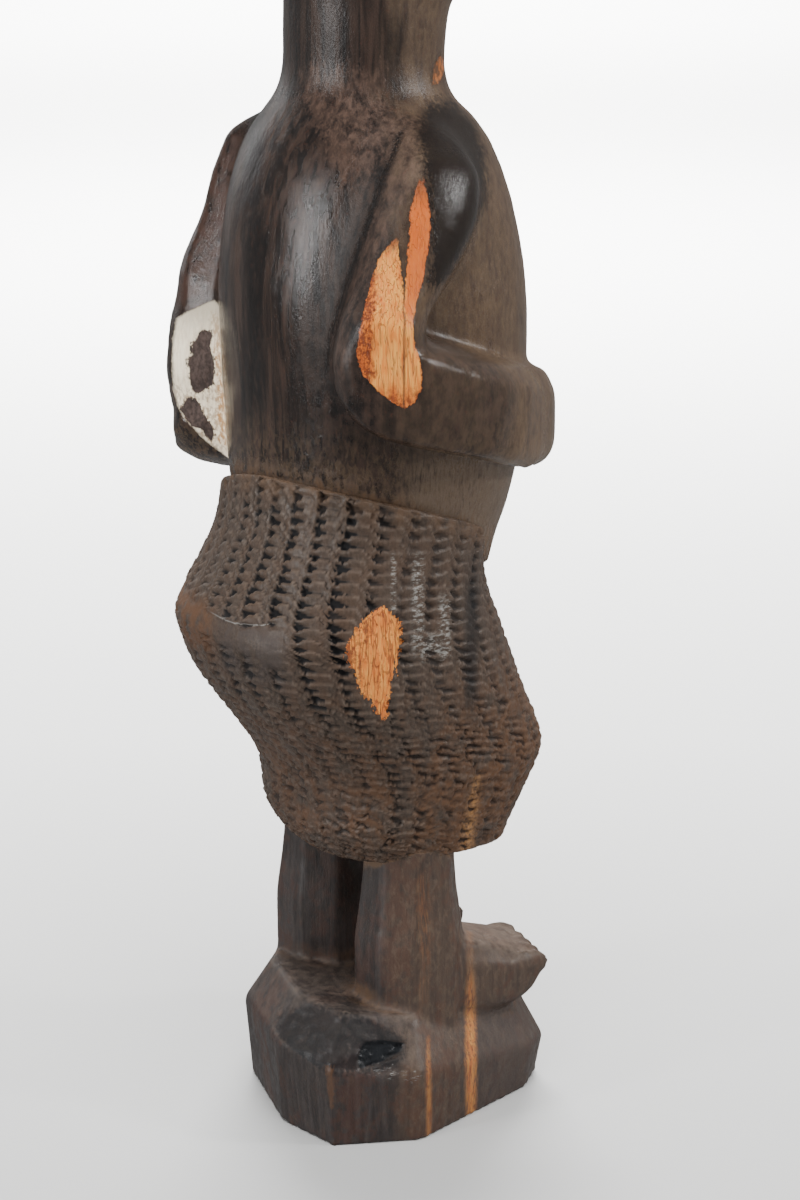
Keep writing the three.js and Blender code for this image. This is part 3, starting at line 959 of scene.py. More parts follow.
    def shell(self) -> bmesh.types.BMesh:
        """The closed skin of the skirt, its two ends drawn in under the body and to the legs.

        Returns:
            A new mesh, in metres, which keeps the painted shade of its pits and the wear and
            painted highlight of its edges.
        """
        around = self.columns * self.across
        total = self.rows + 2 * self.cap_rows
        bm = bmesh.new()
        bmesh.ops.create_grid(bm, x_segments=around, y_segments=total, size=0.5)
        flat = np.array([v.co[:] for v in bm.verts])
        angle = np.round((flat[:, 0] + 0.5) * around) % around / around * 2 * math.pi
        level = np.round((flat[:, 1] + 0.5) * total) - self.cap_rows
        t = np.clip(level / self.rows, 0, 1)
        points = self.skin(angle, t)
        depth, pit_and_shade, lip_wear_and_highlight = self.cut(angle, t, points)
        points = points - self.normal(angle, t) * depth[:, None]
        inward = np.clip(np.maximum(-level, level - self.rows), 0, self.cap_rows) / self.cap_rows
        back_y, back_z, front_y, front_z, _ = self.section(t)
        middle = np.stack([
            np.zeros_like(t),
            (back_y + front_y) / 2 + LEG_LINE_Y,
            (back_z + front_z) / 2 + 4 - 6 * t,
        ], -1)
        share = (inward**1.5)[:, None]
        points = points * (1 - share) + middle * share
        points[:, 2] += self.waist_fillet * t * np.clip(inward * 4, 0, 1)
        # The painted shade of the pits, and the wear and painted highlight of the edges, ride on
        # the points.
        pit_and_shade_layer = bm.verts.layers.float.new("pit_and_shade")
        lip_wear_and_highlight_layer = bm.verts.layers.float.new("lip_wear_and_highlight")
        for vertex, point, dark, proud in zip(bm.verts, points, pit_and_shade, lip_wear_and_highlight):
            vertex.co = Vector(point) * MM
            vertex[pit_and_shade_layer] = dark
            vertex[lip_wear_and_highlight_layer] = proud
        bmesh.ops.remove_doubles(bm, verts=bm.verts[:], dist=0.005 * MM)
        bmesh.ops.recalc_face_normals(bm, faces=bm.faces[:])
        return bm

    def build(self, finish: "Blackwood") -> bpy.types.Object:
        """The finished skirt as a piece of the scene.

        Args:
            finish: The wood it is dressed in.

        Returns:
            The piece, ready to ride.
        """
        return make_piece("carved_skirt", self.shell(), finish.material(Surface.CHIPPED))


@dataclass
class Sketch:
    """A material while its nodes are drawn. Sizes are millimetres."""

    name: str
    shine: float = 0.36

    def __post_init__(self) -> None:
        """Starts the material with the place of each point in millimetres."""
        self.material = bpy.data.materials.new(self.name)
        self.material.use_nodes = True
        self.tree = self.material.node_tree
        self.shader = self.tree.nodes["Principled BSDF"]
        place = self.add("ShaderNodeTexCoord").outputs["Object"]
        scaled = self.add("ShaderNodeVectorMath", operation="SCALE")
        self.feed(scaled.inputs[0], place)
        scaled.inputs["Scale"].default_value = 1 / MM
        self.place = scaled.outputs["Vector"]
        split = self.add("ShaderNodeSeparateXYZ")
        self.feed(split.inputs[0], self.place)
        self.x, self.y, self.z = split.outputs
        self.right = self.sum(self.times(self.x, ACROSS[0]), self.times(self.y, ACROSS[1]))
        self.near = self.sum(self.times(self.x, NEARNESS[0]), self.times(self.y, NEARNESS[1]))

    def add(self, kind: str, **settings: object) -> bpy.types.Node:
        """A new node.

        Args:
            kind: Blender's name for the node.
            settings: Its settings by name.

        Returns:
            The node.
        """
        node = self.tree.nodes.new(kind)
        for key, value in settings.items():
            setattr(node, key, value)
        return node

    def feed(self, socket: bpy.types.NodeSocket, value: object) -> None:
        """Links a socket, or sets it to a plain value.

        Args:
            socket: The socket.
            value: Another node's socket, a number or a colour.
        """
        if isinstance(value, bpy.types.NodeSocket):
            self.tree.links.new(value, socket)
        elif isinstance(value, tuple) and len(value) == 3 and socket.type == "RGBA":
            socket.default_value = (*value, 1)
        else:
            socket.default_value = value

    def math(self, operation: str, first: object, second: object = 0.0) -> bpy.types.NodeSocket:
        """One step of arithmetic.

        Args:
            operation: Blender's name for it.
            first: A socket or a number.
            second: The other one.

        Returns:
            The result.
        """
        node = self.add("ShaderNodeMath", operation=operation)
        self.feed(node.inputs[0], first)
        self.feed(node.inputs[1], second)
        return node.outputs[0]

    def sum(self, first: object, second: object) -> bpy.types.NodeSocket:
        """first plus second."""
        return self.math("ADD", first, second)

    def less(self, first: object, second: object) -> bpy.types.NodeSocket:
        """first less second."""
        return self.math("SUBTRACT", first, second)

    def times(self, first: object, second: object) -> bpy.types.NodeSocket:
        """first times second."""
        return self.math("MULTIPLY", first, second)

    def most(self, first: object, second: object) -> bpy.types.NodeSocket:
        """The greater of two."""
        return self.math("MAXIMUM", first, second)

    def step(self, value: object, low: float, high: float) -> bpy.types.NodeSocket:
        """Smooth step from 0 at low to 1 at high.

        Args:
            value: A socket.
            low: Where the step starts.
            high: Where it ends; below low, the step falls.

        Returns:
            A number from 0 to 1.
        """
        node = self.add("ShaderNodeMapRange", interpolation_type="SMOOTHSTEP", clamp=True)
        self.feed(node.inputs["Value"], value)
        rising = high > low
        node.inputs["From Min"].default_value = min(low, high)
        node.inputs["From Max"].default_value = max(low, high)
        node.inputs["To Min"].default_value = 0.0 if rising else 1.0
        node.inputs["To Max"].default_value = 1.0 if rising else 0.0
        return node.outputs["Result"]

    def band(self, value: object, low: float, high: float, soft: float) -> bpy.types.NodeSocket:
        """1 between low and high, with soft edges."""
        above = self.step(value, low - soft, low + soft)
        return self.times(above, self.step(value, high + soft, high - soft))

    def blend(self, share: object, low: object, high: object) -> bpy.types.NodeSocket:
        """A number between two others.

        Args:
            share: 0 for low to 1 for high.
            low: The first number.
            high: The second.

        Returns:
            The number.
        """
        node = self.add("ShaderNodeMix", data_type="FLOAT")
        self.feed(node.inputs[0], share)
        self.feed(node.inputs[2], low)
        self.feed(node.inputs[3], high)
        return node.outputs[0]

    def tint(self, share: object, low: object, high: object) -> bpy.types.NodeSocket:
        """A colour between two others.

        Args:
            share: 0 for low to 1 for high.
            low: The first colour.
            high: The second.

        Returns:
            The colour.
        """
        node = self.add("ShaderNodeMix", data_type="RGBA")
        self.feed(node.inputs[0], share)
        self.feed(node.inputs[6], low)
        self.feed(node.inputs[7], high)
        return node.outputs[2]

    def spread(self, size: float, tall: float, shift: tuple) -> bpy.types.NodeSocket:
        """The place of each point, counted in clouds or spots of a pattern.

        Args:
            size: Width of one.
            tall: How many times taller than wide it is.
            shift: How far the pattern is moved along each axis, which picks another one.

        Returns:
            The place, for a texture to read.
        """
        mapping = self.add("ShaderNodeMapping")
        self.feed(mapping.inputs["Vector"], self.place)
        mapping.inputs["Scale"].default_value = (1 / size, 1 / size, 1 / (size * tall))
        mapping.inputs["Location"].default_value = shift
        return mapping.outputs[0]

    def noise(
        self, size: float, tall: float = 1.0, detail: float = 3.0, roughness: float = 0.55,
        bend: float = 0.0, seed: float = 0.0,
    ) -> bpy.types.NodeSocket:
        """Cloudy noise from 0 to 1.

        Args:
            size: Width of one cloud.
            tall: How many times taller than wide a cloud is.
            detail: Octaves of finer noise.
            roughness: Strength of the finer noise.
            bend: How much the clouds are bent.
            seed: Picks another pattern.

        Returns:
            The noise.
        """
        place = self.spread(size, tall, (seed, seed * 1.7, seed * 0.6))
        node = self.add("ShaderNodeTexNoise")
        self.feed(node.inputs["Vector"], place)
        node.inputs["Scale"].default_value = 1.0
        node.inputs["Detail"].default_value = detail
        node.inputs["Roughness"].default_value = roughness
        node.inputs["Distortion"].default_value = bend
        return node.outputs["Fac"]

    def specks(self, size: float, tall: float = 1.0, seed: float = 0.0) -> bpy.types.NodeSocket:
        """Scattered spots.

        Args:
            size: Distance between spots.
            tall: How many times taller than wide a spot is.
            seed: Picks another pattern.

        Returns:
            The distance to the nearest spot, 0 at its middle.
        """
        place = self.spread(size, tall, (seed, seed, seed))
        node = self.add("ShaderNodeTexVoronoi", feature="F1")
        self.feed(node.inputs["Vector"], place)
        node.inputs["Scale"].default_value = 1.0
        return node.outputs["Distance"]

    def cracks(self, size: float, tall: float, width: float, seed: float) -> bpy.types.NodeSocket:
        """Thin dark lines along the grain.

        Args:
            size: Distance between lines.
            tall: How many times longer they run along the grain.
            width: How wide they are, as a share of the noise they follow.
            seed: Picks another pattern.

        Returns:
            A number, 1 on a line and 0 beside it.
        """
        cloud = self.noise(size, tall=tall, detail=2, seed=seed)
        away = self.math("ABSOLUTE", self.less(cloud, 0.5))
        return self.step(away, width, 0.3 * width)

    def attribute(self, name: str) -> bpy.types.NodeSocket:
        """A number stored on the mesh."""
        return self.add("ShaderNodeAttribute", attribute_name=name).outputs["Fac"]

    def edge(self, heights: list, places: list) -> bpy.types.NodeSocket:
        """A patch's edge as a curve over height.

        Args:
            heights: Rising heights.
            places: The edge's place at each height.

        Returns:
            The edge's place at the point's height.
        """
        low, high = heights[0], heights[-1]
        left, right = min(places) - 0.01, max(places) + 0.01
        node = self.add("ShaderNodeFloatCurve")
        curve = node.mapping.curves[0]
        tall, wide = high - low, right - left
        spots = [((h - low) / tall, (p - left) / wide) for h, p in zip(heights, places)]
        curve.points[0].location, curve.points[1].location = spots[0], spots[-1]
        for spot in spots[1:-1]:
            curve.points.new(*spot)
        for point in curve.points:
            point.handle_type = "VECTOR"
        node.mapping.update()
        share = self.times(self.less(self.z, low), 1 / tall)
        self.feed(node.inputs["Value"], share)
        return self.sum(self.times(node.outputs["Value"], wide), left)

    def above_waist(self) -> bpy.types.NodeSocket:
        """Height of the slanting plane through each point that lies as the waist does.

        Returns:
            The plane's height on the middle line.
        """
        slant = self.sum(self.times(self.y, WAIST_RISE), self.times(self.x, WAIST_FALL))
        return self.less(self.z, slant)

    def front(self) -> bpy.types.NodeSocket:
        """Share of the belly's and skirt's front and left side, which painted shade darkens.

        Returns:
            A socket, 1 well round the front and 0 over the back and the right side.
        """
        return self.times(self.step(self.near, -2, -16), self.step(self.right, -38, -28))

    def patch(self, patch: Patch, soft: float = 0.22) -> bpy.types.NodeSocket:
        """How deep each point lies inside a patch, 0 to 1, with ragged fibre edges.

        Args:
            patch: The area.
            soft: Width of the edge.

        Returns:
            The cover.
        """
        rows = patch.rows[::-1]
        heights = [row[0] for row in rows]
        fibre = self.less(self.noise(0.8, tall=7, detail=3, seed=heights[0]), 0.5)
        crumb = self.less(self.noise(0.9, tall=1.2, detail=3, seed=heights[-1]), 0.5)
        loose = self.times(self.sum(fibre, crumb), 2.6 * patch.ragged)
        place = self.sum(self.right, loose)
        left = self.less(place, self.edge(heights, [row[1] for row in rows]))
        right = self.less(self.edge(heights, [row[2] for row in rows]), place)
        inside = self.times(self.step(left, -soft, soft), self.step(right, -soft, soft))
        height = self.sum(self.z, self.times(loose, 1.5))
        inside = self.times(inside, self.band(height, heights[0], heights[-1], soft))
        return self.times(inside, self.step(self.near, patch.near - 0.5, patch.near + 0.5))

    def finish(self, colour: object, roughness: object, height: object) -> bpy.types.Material:
        """Feeds the shader.

        Args:
            colour: The base colour.
            roughness: The roughness.
            height: Fine relief, in millimetres.

        Returns:
            The material.
        """
        self.feed(self.shader.inputs["Base Color"], colour)
        self.feed(self.shader.inputs["Roughness"], roughness)
        self.shader.inputs["Specular IOR Level"].default_value = self.shine
        bump = self.add("ShaderNodeBump")
        bump.inputs["Distance"].default_value = MM
        bump.inputs["Strength"].default_value = 1.0
        self.feed(bump.inputs["Height"], height)
        self.feed(self.shader.inputs["Normal"], bump.outputs[0])
        return self.material


@dataclass(frozen=True)
class Blackwood:
    """Near-black heartwood with brown and red streaks, orange and cream sapwood, and old dust."""

    black: tuple = (0.0060, 0.0047, 0.0044)
    dark_brown: tuple = (0.034, 0.021, 0.0158)
    olive_brown: tuple = (0.088, 0.058, 0.035)
    nape_brown: tuple = (0.085, 0.052, 0.038)
    grey_dust: tuple = (0.088, 0.069, 0.056)
    red_brown: tuple = (0.058, 0.022, 0.013)
    pared_brown: tuple = (0.058, 0.037, 0.025)
    grey_black: tuple = (0.037, 0.030, 0.0285)
    black_and_pit_shade: tuple = (0.0042, 0.005, 0.0062)
    skirt_brown: tuple = (0.056, 0.039, 0.0285)
    lip_wear_and_highlight_brown: tuple = (0.112, 0.085, 0.066)
    rust_brown: tuple = (0.078, 0.036, 0.016)
    dust: tuple = (0.084, 0.049, 0.028)
    orange: tuple = (0.54, 0.16, 0.025)
    pale_orange: tuple = (0.65, 0.295, 0.058)
    deep_orange: tuple = (0.40, 0.075, 0.010)
    rust_speck: tuple = (0.10, 0.022, 0.010)
    knot_brown: tuple = (0.30, 0.10, 0.03)
    # Painted shade that darkens the front.
    front_shade: tuple = (0.0085, 0.0062, 0.0049)
    cream: tuple = (0.97, 0.86, 0.66)
    ochre: tuple = (0.42, 0.215, 0.075)
    bark: tuple = (0.085, 0.057, 0.048)
    worn_and_highlight_grey: tuple = (0.33, 0.33, 0.31)
    scratched: tuple = (0.22, 0.22, 0.21)

    def material(self, surface: Surface) -> bpy.types.Material:
        """The wood's shader for one kind of surface.

        Args:
            surface: How the surface was left.

        Returns:
            The material.
        """
        sketch = Sketch(f"blackwood_{surface.value}")
        makers = {
            Surface.POLISHED: self.polished,
            Surface.CHIPPED: self.chipped,
            Surface.PARED: self.pared,
        }
        return makers[surface](sketch)

    def sapwood(self, s: Sketch, glossy: bool) -> tuple:
        """Orange sapwood.

        Args:
            s: The material in work.
            glossy: Whether it is polished, with finer cracks.

        Returns:
            Its colour and its fibre relief.
        """
        fibre = s.noise(0.5, tall=14, detail=4, roughness=0.6, seed=2.0)
        cloud = s.noise(2.6, tall=3, detail=3, seed=5.0)
        colour = s.tint(s.step(fibre, 0.3, 0.7), self.orange, self.pale_orange)
        colour = s.tint(s.times(s.step(cloud, 0.45, 0.7), 0.6), colour, self.deep_orange)
        pores = s.step(s.specks(0.8, tall=4, seed=3.0), 0.18, 0.06)
        colour = s.tint(s.times(pores, 0.55), colour, self.rust_speck)
        cracks = s.cracks(1.7, 9, 0.02 if glossy else 0.032, 6.0)
        colour = s.tint(s.times(cracks, 0.5 if glossy else 0.7), colour, self.rust_speck)
        relief = s.less(s.times(fibre, 0.05 if glossy else 0.2), s.times(cracks, 0.12))
        return colour, relief

    def polished(self, s: Sketch) -> bpy.types.Material:
        """Torso, arms and head: satin black, brown towards the belly.

        Args:
            s: The material in work.

        Returns:
            The finished material.
        """
        grain = s.noise(0.5, tall=24, detail=4, roughness=0.6, seed=1.0)
        streak = s.noise(2.4, tall=14, detail=4, bend=0.6, seed=4.0)
        broad = s.noise(9.0, tall=5, detail=3, bend=0.8, seed=7.0)
        mottle = s.noise(3.2, tall=1.4, detail=5, roughness=0.6, seed=11.0)
        belly = s.step(s.sum(s.right, s.times(s.less(broad, 0.5), 26)), 0, 22)
        colour, fleck = self.body_colour(s, grain, streak, broad, mottle, belly)
        # Dust in the hollows and along the waist, and the groove behind the right arm: painted
        # shade over its width and dark fibres along it.
        hollow = s.attribute("hollow")
        dusty = s.step(s.sum(hollow, s.times(s.less(mottle, 0.5), 0.4)), 0.24, 0.5)
        dusty = s.times(dusty, s.step(s.z, 262, 232))
        waist = s.step(s.above_waist(), 180.5, 174.0)
        waist = s.times(waist, s.step(s.sum(mottle, s.times(fleck, 0.3)), 0.4, 0.62))
        dusty = s.most(s.times(dusty, 0.5), waist)
        colour = s.tint(s.times(dusty, 0.8), colour, self.dust)
        # Painted shade in the groove behind the right arm.
        colour = s.tint(s.times(s.patch(ARM_GROOVE, 3.5), 0.6), colour, self.black)
        groove = s.times(s.patch(ARM_GROOVE, 0.7), s.step(grain, 0.35, 0.55))
        colour = s.tint(s.times(groove, 0.9), colour, self.black)
        rough, height, ripple = self.polish(s, grain, belly, dusty)
        height = s.less(height, s.times(groove, 0.25))
        # Below the forearm, and painted shade over the front.
        under = s.times(s.band(s.z, 168, 196, 4), s.step(s.right, 6, 20))
        under = s.times(under, s.step(grain, 0.3, 0.6))
        colour = s.tint(under, colour, s.tint(0.35, self.olive_brown, self.grey_dust))
        front = s.front()
        colour = s.tint(s.times(front, 0.84), colour, self.front_shade)
        rough = s.blend(front, rough, 0.3)
        colour, rough, height = self.right_elbow(s, colour, rough, height)
        colour, rough, height = self.left_elbow(s, colour, rough, height)
        colour = self.knot(s, colour, ripple)
        return s.finish(colour, rough, height)

    def body_colour(
        self, s: Sketch, grain: object, streak: object, broad: object, mottle: object, belly: object
    ) -> tuple:
        """The polished heartwood: black down the back and brown round the belly.

        Args:
            s: The material in work.
            grain: Fine fibres.
            streak: Long streaks.
            broad: Broad clouds.
            mottle: Small clouds.
            belly: How far each point lies towards the belly, 0 to 1.

        Returns:
            The colour, and the red flecks in it.
        """
        fine_mottle = s.noise(1.4, tall=2.2, detail=5, roughness=0.65, bend=0.4, seed=27.0)
        colour = s.tint(s.step(streak, 0.35, 0.68), self.black, self.dark_brown)
        cloudy = s.sum(s.times(streak, 0.2), s.sum(s.times(fine_mottle, 0.9), s.times(broad, 0.5)))
        brown = s.tint(s.step(cloudy, 0.45, 1.1), self.dark_brown, self.olive_brown)
        colour = s.tint(belly, colour, brown)
        # The right forearm, the left arm, a black band down the back, partly painted shade where
        # no sheen falls, and the loins.
        arm = s.times(s.step(s.near, 30, 38), s.band(s.z, 188, 232, 4))
        forearm = s.tint(s.step(mottle, 0.35, 0.65), self.black, self.dark_brown)
        colour = s.tint(s.times(arm, 0.6), colour, forearm)
        far_arm = s.times(s.step(s.x, 31, 36), s.step(s.z, 222, 232))
        far_arm = s.times(far_arm, s.step(mottle, 0.3, 0.6))
        colour = s.tint(far_arm, colour, s.tint(0.7, self.red_brown, self.dark_brown))
        flank_black_and_shade = s.times(s.band(s.right, -30.5, -25.5, 2.0), s.step(s.z, 196, 212))
        flank_black_and_shade = s.times(s.times(flank_black_and_shade, s.step(s.z, 292, 282)), s.step(mottle, 0.25, 0.55))
        colour = s.tint(flank_black_and_shade, colour, self.black)
        low = s.times(s.step(s.z, 212, 186), s.step(fine_mottle, 0.42, 0.62))
        colour = s.tint(s.times(low, 0.55), colour, self.olive_brown)
        # Brown at the nape and beside the groove, then flecks and grain all over.
        rusty = s.most(s.patch(NAPE_BROWN, 2.0), s.times(s.patch(ARM_RED, 1.5), 0.9))
        cloudy = s.sum(s.times(s.sum(grain, streak), 0.5), mottle)
        rusty = s.times(rusty, s.step(cloudy, 0.55, 1.35))
        rusty = s.times(rusty, s.blend(s.step(fine_mottle, 0.35, 0.65), 0.15, 0.85))
        colour = s.tint(rusty, colour, self.nape_brown)
        fleck = s.step(s.noise(1.3, tall=1.5, detail=5, roughness=0.7, seed=15.0), 0.56, 0.72)
        colour = s.tint(s.times(fleck, 0.35), colour, self.red_brown)
        colour = s.tint(s.times(s.step(grain, 0.56, 0.78), 0.2), colour, self.red_brown)
        colour = s.tint(s.times(s.step(grain, 0.42, 0.25), 0.2), colour, self.black)
        colour = s.tint(s.times(s.patch(SHOULDER_BLACK, 2.0), 0.9), colour, self.black)
        return colour, fleck

    def polish(self, s: Sketch, grain: object, belly: object, dusty: object) -> tuple:
        """The polish, broken by scratches and scuffs and dulled beside the groove.

        Args:
            s: The material in work.
            grain: Fine fibres.
            belly: How far each point lies towards the belly, 0 to 1.
            dusty: Where dust lies, 0 to 1.

        Returns:
            The roughness, the relief, and the slow ripple in it.
        """
        scratch = s.noise(0.24, tall=4, detail=3, roughness=0.7, seed=21.0)
        scuff = s.noise(0.9, tall=1.2, detail=5, roughness=0.75, bend=0.4, seed=22.0)
        scuff = s.sum(s.step(scratch, 0.35, 0.7), s.step(scuff, 0.42, 0.6))
        rough = s.blend(s.times(scuff, 0.5), 0.11, 0.27)
        trunk = s.times(belly, s.step(s.x, -44, -38))
        rough = s.blend(s.times(trunk, 0.7), rough, 0.48)
        rough = s.blend(s.step(s.z, 284, 294), rough, 0.36)
        dull = s.math("POWER", s.patch(ARM_GROOVE, 11.0), 0.6)
        rough = s.blend(s.most(dusty, dull), rough, 0.92)
        ripple = s.noise(1.5, tall=1.8, detail=4, roughness=0.6, bend=0.5, seed=24.0)
        height = s.sum(s.times(grain, 0.03), s.times(scratch, 0.045))
        crackle = s.noise(0.6, tall=1.3, detail=3, roughness=0.7, seed=25.0)
        height = s.sum(height, s.sum(s.times(crackle, 0.08), s.times(ripple, 0.14)))
        return rough, height, ripple

    def knot(self, s: Sketch, colour: object, ripple: object) -> bpy.types.NodeSocket:
        """A small brown knot at the side of the neck, with a black crack round it.

        Args:
            s: The material in work.
            colour: The colour so far.
            ripple: Clouds that draw the knot's rings.

        Returns:
            The colour with the knot added.
        """
        crack = s.patch(KNOT, 0.9)
        colour = s.tint(s.times(crack, 0.85), colour, self.black)
        knot = s.patch(KNOT)
        rings = s.tint(s.step(ripple, 0.4, 0.65), self.rust_brown, self.knot_brown)
        return s.tint(knot, colour, rings)

    def right_elbow(self, s: Sketch, colour: object, rough: object, height: object) -> tuple:
        """Two lobes of glossy orange sapwood down the right arm to the elbow.

        Args:
            s: The material in work.
            colour: The colour so far.
            rough: The roughness so far.
            height: The relief so far.

        Returns:
            The three with the sapwood added.
        """
        wood, relief = self.sapwood(s, glossy=True)
        back, front = s.patch(ELBOW_BACK_LOBE), s.patch(ELBOW_FRONT_LOBE)
        inside = s.most(back, front)
        front_only = s.step(s.right, 11.4, 12.4)
        upper = s.times(front_only, s.step(s.z, 232, 244))
        wood = s.tint(s.times(upper, 0.85), wood, self.deep_orange)
        slant = s.sum(s.right, s.times(s.less(s.z, 214), -0.075))
        wander = s.times(s.less(s.noise(2.2, tall=1.6, detail=3, seed=33.0), 0.5), 7)
        left = s.step(s.sum(slant, wander), 3.4, 1.2)
        low = s.step(s.sum(s.z, wander), 222, 216)
        spots = s.step(s.noise(1.0, tall=1.2, detail=5, roughness=0.75, seed=31.0), 0.42, 0.56)
        edge = s.most(s.times(left, s.step(s.z, 252, 246)), s.times(low, 0.9))
        wood = s.tint(s.times(edge, 0.7), wood, self.deep_orange)
        wood = s.tint(s.times(spots, s.times(edge, 0.9)), wood, self.rust_speck)
        back_tip = s.times(s.step(s.z, 253, 258), s.step(s.right, 11, 9))
        wood = s.tint(back_tip, wood, self.deep_orange)
        tip = s.times(front_only, s.step(s.sum(s.z, wander), 262, 271))
        tip = s.most(tip, s.times(s.less(1.0, front_only), s.step(s.sum(s.z, wander), 251, 257)))
        wood = s.tint(s.times(tip, 0.7), wood, self.dark_brown)
        bent = s.times(s.less(s.noise(1.4, tall=6, seed=9.0), 0.5), 1.6)
        line = s.times(s.band(s.sum(s.right, bent), 11.1, 11.6, 0.25), s.band(s.z, 214, 246, 2))
        wood = s.tint(s.times(line, 0.75), wood, self.dark_brown)
        around = s.most(s.patch(ELBOW_BACK_LOBE, 1.8), s.patch(ELBOW_FRONT_LOBE, 1.8))
        around = s.times(around, 0.8)
        colour = s.tint(around, colour, self.black)
        rough = s.blend(around, rough, 0.22)
        colour = s.tint(inside, colour, wood)
        rough = s.blend(inside, rough, 0.32)
        height = s.sum(height, s.times(inside, relief))
        return colour, rough, height

    def left_elbow(self, s: Sketch, colour: object, rough: object, height: object) -> tuple:
        """A ring of cream sapwood with an ochre rim, round two crusts of bark.

        Args:
            s: The material in work.
            colour: The colour so far.
            rough: The roughness so far.
            height: The relief so far.

        Returns:
            The three with the sapwood and the bark added.
        """
        arm = s.times(s.step(s.x, 26, 28), s.step(s.y, 2, 6))
        ring = s.times(s.patch(LEFT_ELBOW_SAPWOOD, 0.7), arm)
        rim = s.times(s.patch(LEFT_ELBOW_RIM, 0.6), arm)
        crust = s.times(s.most(s.patch(BARK_UPPER), s.patch(BARK_LOWER)), arm)
        near_crust = s.times(s.most(s.patch(BARK_UPPER, 1.5), s.patch(BARK_LOWER, 1.5)), arm)
        fibre = s.noise(0.6, tall=9, detail=4, seed=14.0)
        crumb = s.noise(1.1, tall=1.4, detail=5, roughness=0.65, seed=17.0)
        stringy = s.band(s.z, 186, 206, 3)
        pale = s.tint(s.step(fibre, 0.35, 0.7), self.cream, s.tint(0.3, self.cream, self.ochre))
        tatter = s.times(stringy, s.step(crumb, 0.45, 0.6))
        pale = s.tint(s.times(tatter, 0.6), pale, s.tint(0.5, self.ochre, self.bark))
        tan = s.most(s.times(rim, 0.9), s.times(near_crust, 0.8))
        pale = s.tint(s.times(tan, s.step(crumb, 0.35, 0.6)), pale, self.ochre)
        shade = s.step(s.sum(s.z, s.times(s.less(crumb, 0.5), 6)), 215, 228)
        pale = s.tint(s.times(shade, 0.8), pale, s.tint(0.35, self.dark_brown, self.cream))
        colour = s.tint(ring, colour, pale)
        torn = s.times(s.step(near_crust, 0.1, 0.4), s.step(near_crust, 0.9, 0.6))
        colour = s.tint(s.times(torn, s.step(crumb, 0.5, 0.58)), colour, self.black)
        rind = s.tint(s.step(crumb, 0.35, 0.65), s.tint(0.6, self.bark, self.black), self.bark)
        colour = s.tint(crust, colour, rind)
        rough = s.blend(s.most(ring, crust), rough, 0.7)
        height = s.sum(height, s.times(ring, s.times(fibre, 0.25)))
        height = s.sum(height, s.times(crust, s.times(crumb, 0.6)))
        return colour, rough, height

    def chipped(self, s: Sketch) -> bpy.types.Material:
        """The skirt: dull brown, with painted shade black in the pits and painted highlights on
        the chip edges, worn and dusty in places.

        Args:
            s: The material in work.

        Returns:
            The finished material.
        """
        pit_and_shade = s.attribute("pit_and_shade")
        grain = s.noise(0.6, tall=20, detail=4, roughness=0.65, seed=41.0)
        mottle = s.noise(3.6, tall=1.5, detail=4, seed=44.0)
        broad = s.noise(16, tall=2, detail=2, bend=0.6, seed=47.0)
        speck = s.noise(0.8, tall=1.3, detail=5, roughness=0.7, seed=49.0)
        cloud = s.step(s.sum(s.times(grain, 0.35), s.times(speck, 0.65)), 0.36, 0.62)
        colour = s.tint(cloud, s.tint(0.45, self.skirt_brown, self.black), self.skirt_brown)
        low = s.step(s.z, 150, 96)
        rusty = s.step(s.sum(mottle, s.times(broad, 0.6)), 0.62, 1.05)
        rusty = s.times(rusty, s.sum(s.times(low, 0.6), 0.25))
        colour = s.tint(rusty, colour, self.rust_brown)
        front = s.step(s.right, 2, 34)
        front = s.times(s.times(front, low), s.step(mottle, 0.3, 0.6))
        colour = s.tint(s.times(front, 0.65), colour, self.rust_brown)
        # Wear and a painted highlight on the proud edges, painted shade black in the pits, a
        # black column, and red wear on the seat.
        proud = s.times(s.attribute("lip_wear_and_highlight"), s.step(mottle, 0.2, 0.5))
        colour = s.tint(s.times(proud, 0.6), colour, self.lip_wear_and_highlight_brown)
        # Painted shade in the pits.
        pit_and_shade = s.step(s.sum(pit_and_shade, s.times(s.less(mottle, 0.5), 0.25)), 0.1, 0.75)
        colour = s.tint(s.times(pit_and_shade, 0.94), colour, self.black_and_pit_shade)
        band = s.times(s.band(s.right, 28.0, 31.5, 1.6), s.band(s.z, 126, 162, 8))
        beside = s.step(s.near, -8, -1)
        colour = s.tint(s.times(s.times(band, beside), 0.7), colour, self.black_and_pit_shade)
        seat = s.times(s.step(s.right, -38, -43), s.band(s.z, 138, 153, 3))
        seat = s.times(seat, s.step(mottle, 0.36, 0.56))
        colour = s.tint(s.times(seat, 0.85), colour, self.rust_brown)
        waist = s.times(s.step(s.above_waist(), 165, 173.5), s.step(mottle, 0.3, 0.65))
        colour = s.tint(s.times(waist, 0.8), colour, self.dust)
        # Chip edges rubbed bright and painted with glints beside the scar, and a painted highlight
        # as a pale line along the crease of the seat.
        shine = s.times(self.rubbed_and_glinting_edges(s, beside), s.step(pit_and_shade, 0.5, 0.1))
        colour = s.tint(s.times(shine, 0.5), colour, self.worn_and_highlight_grey)
        colour = s.tint(s.times(self.seat_crease_highlight(s, grain), 0.6), colour, self.worn_and_highlight_grey)
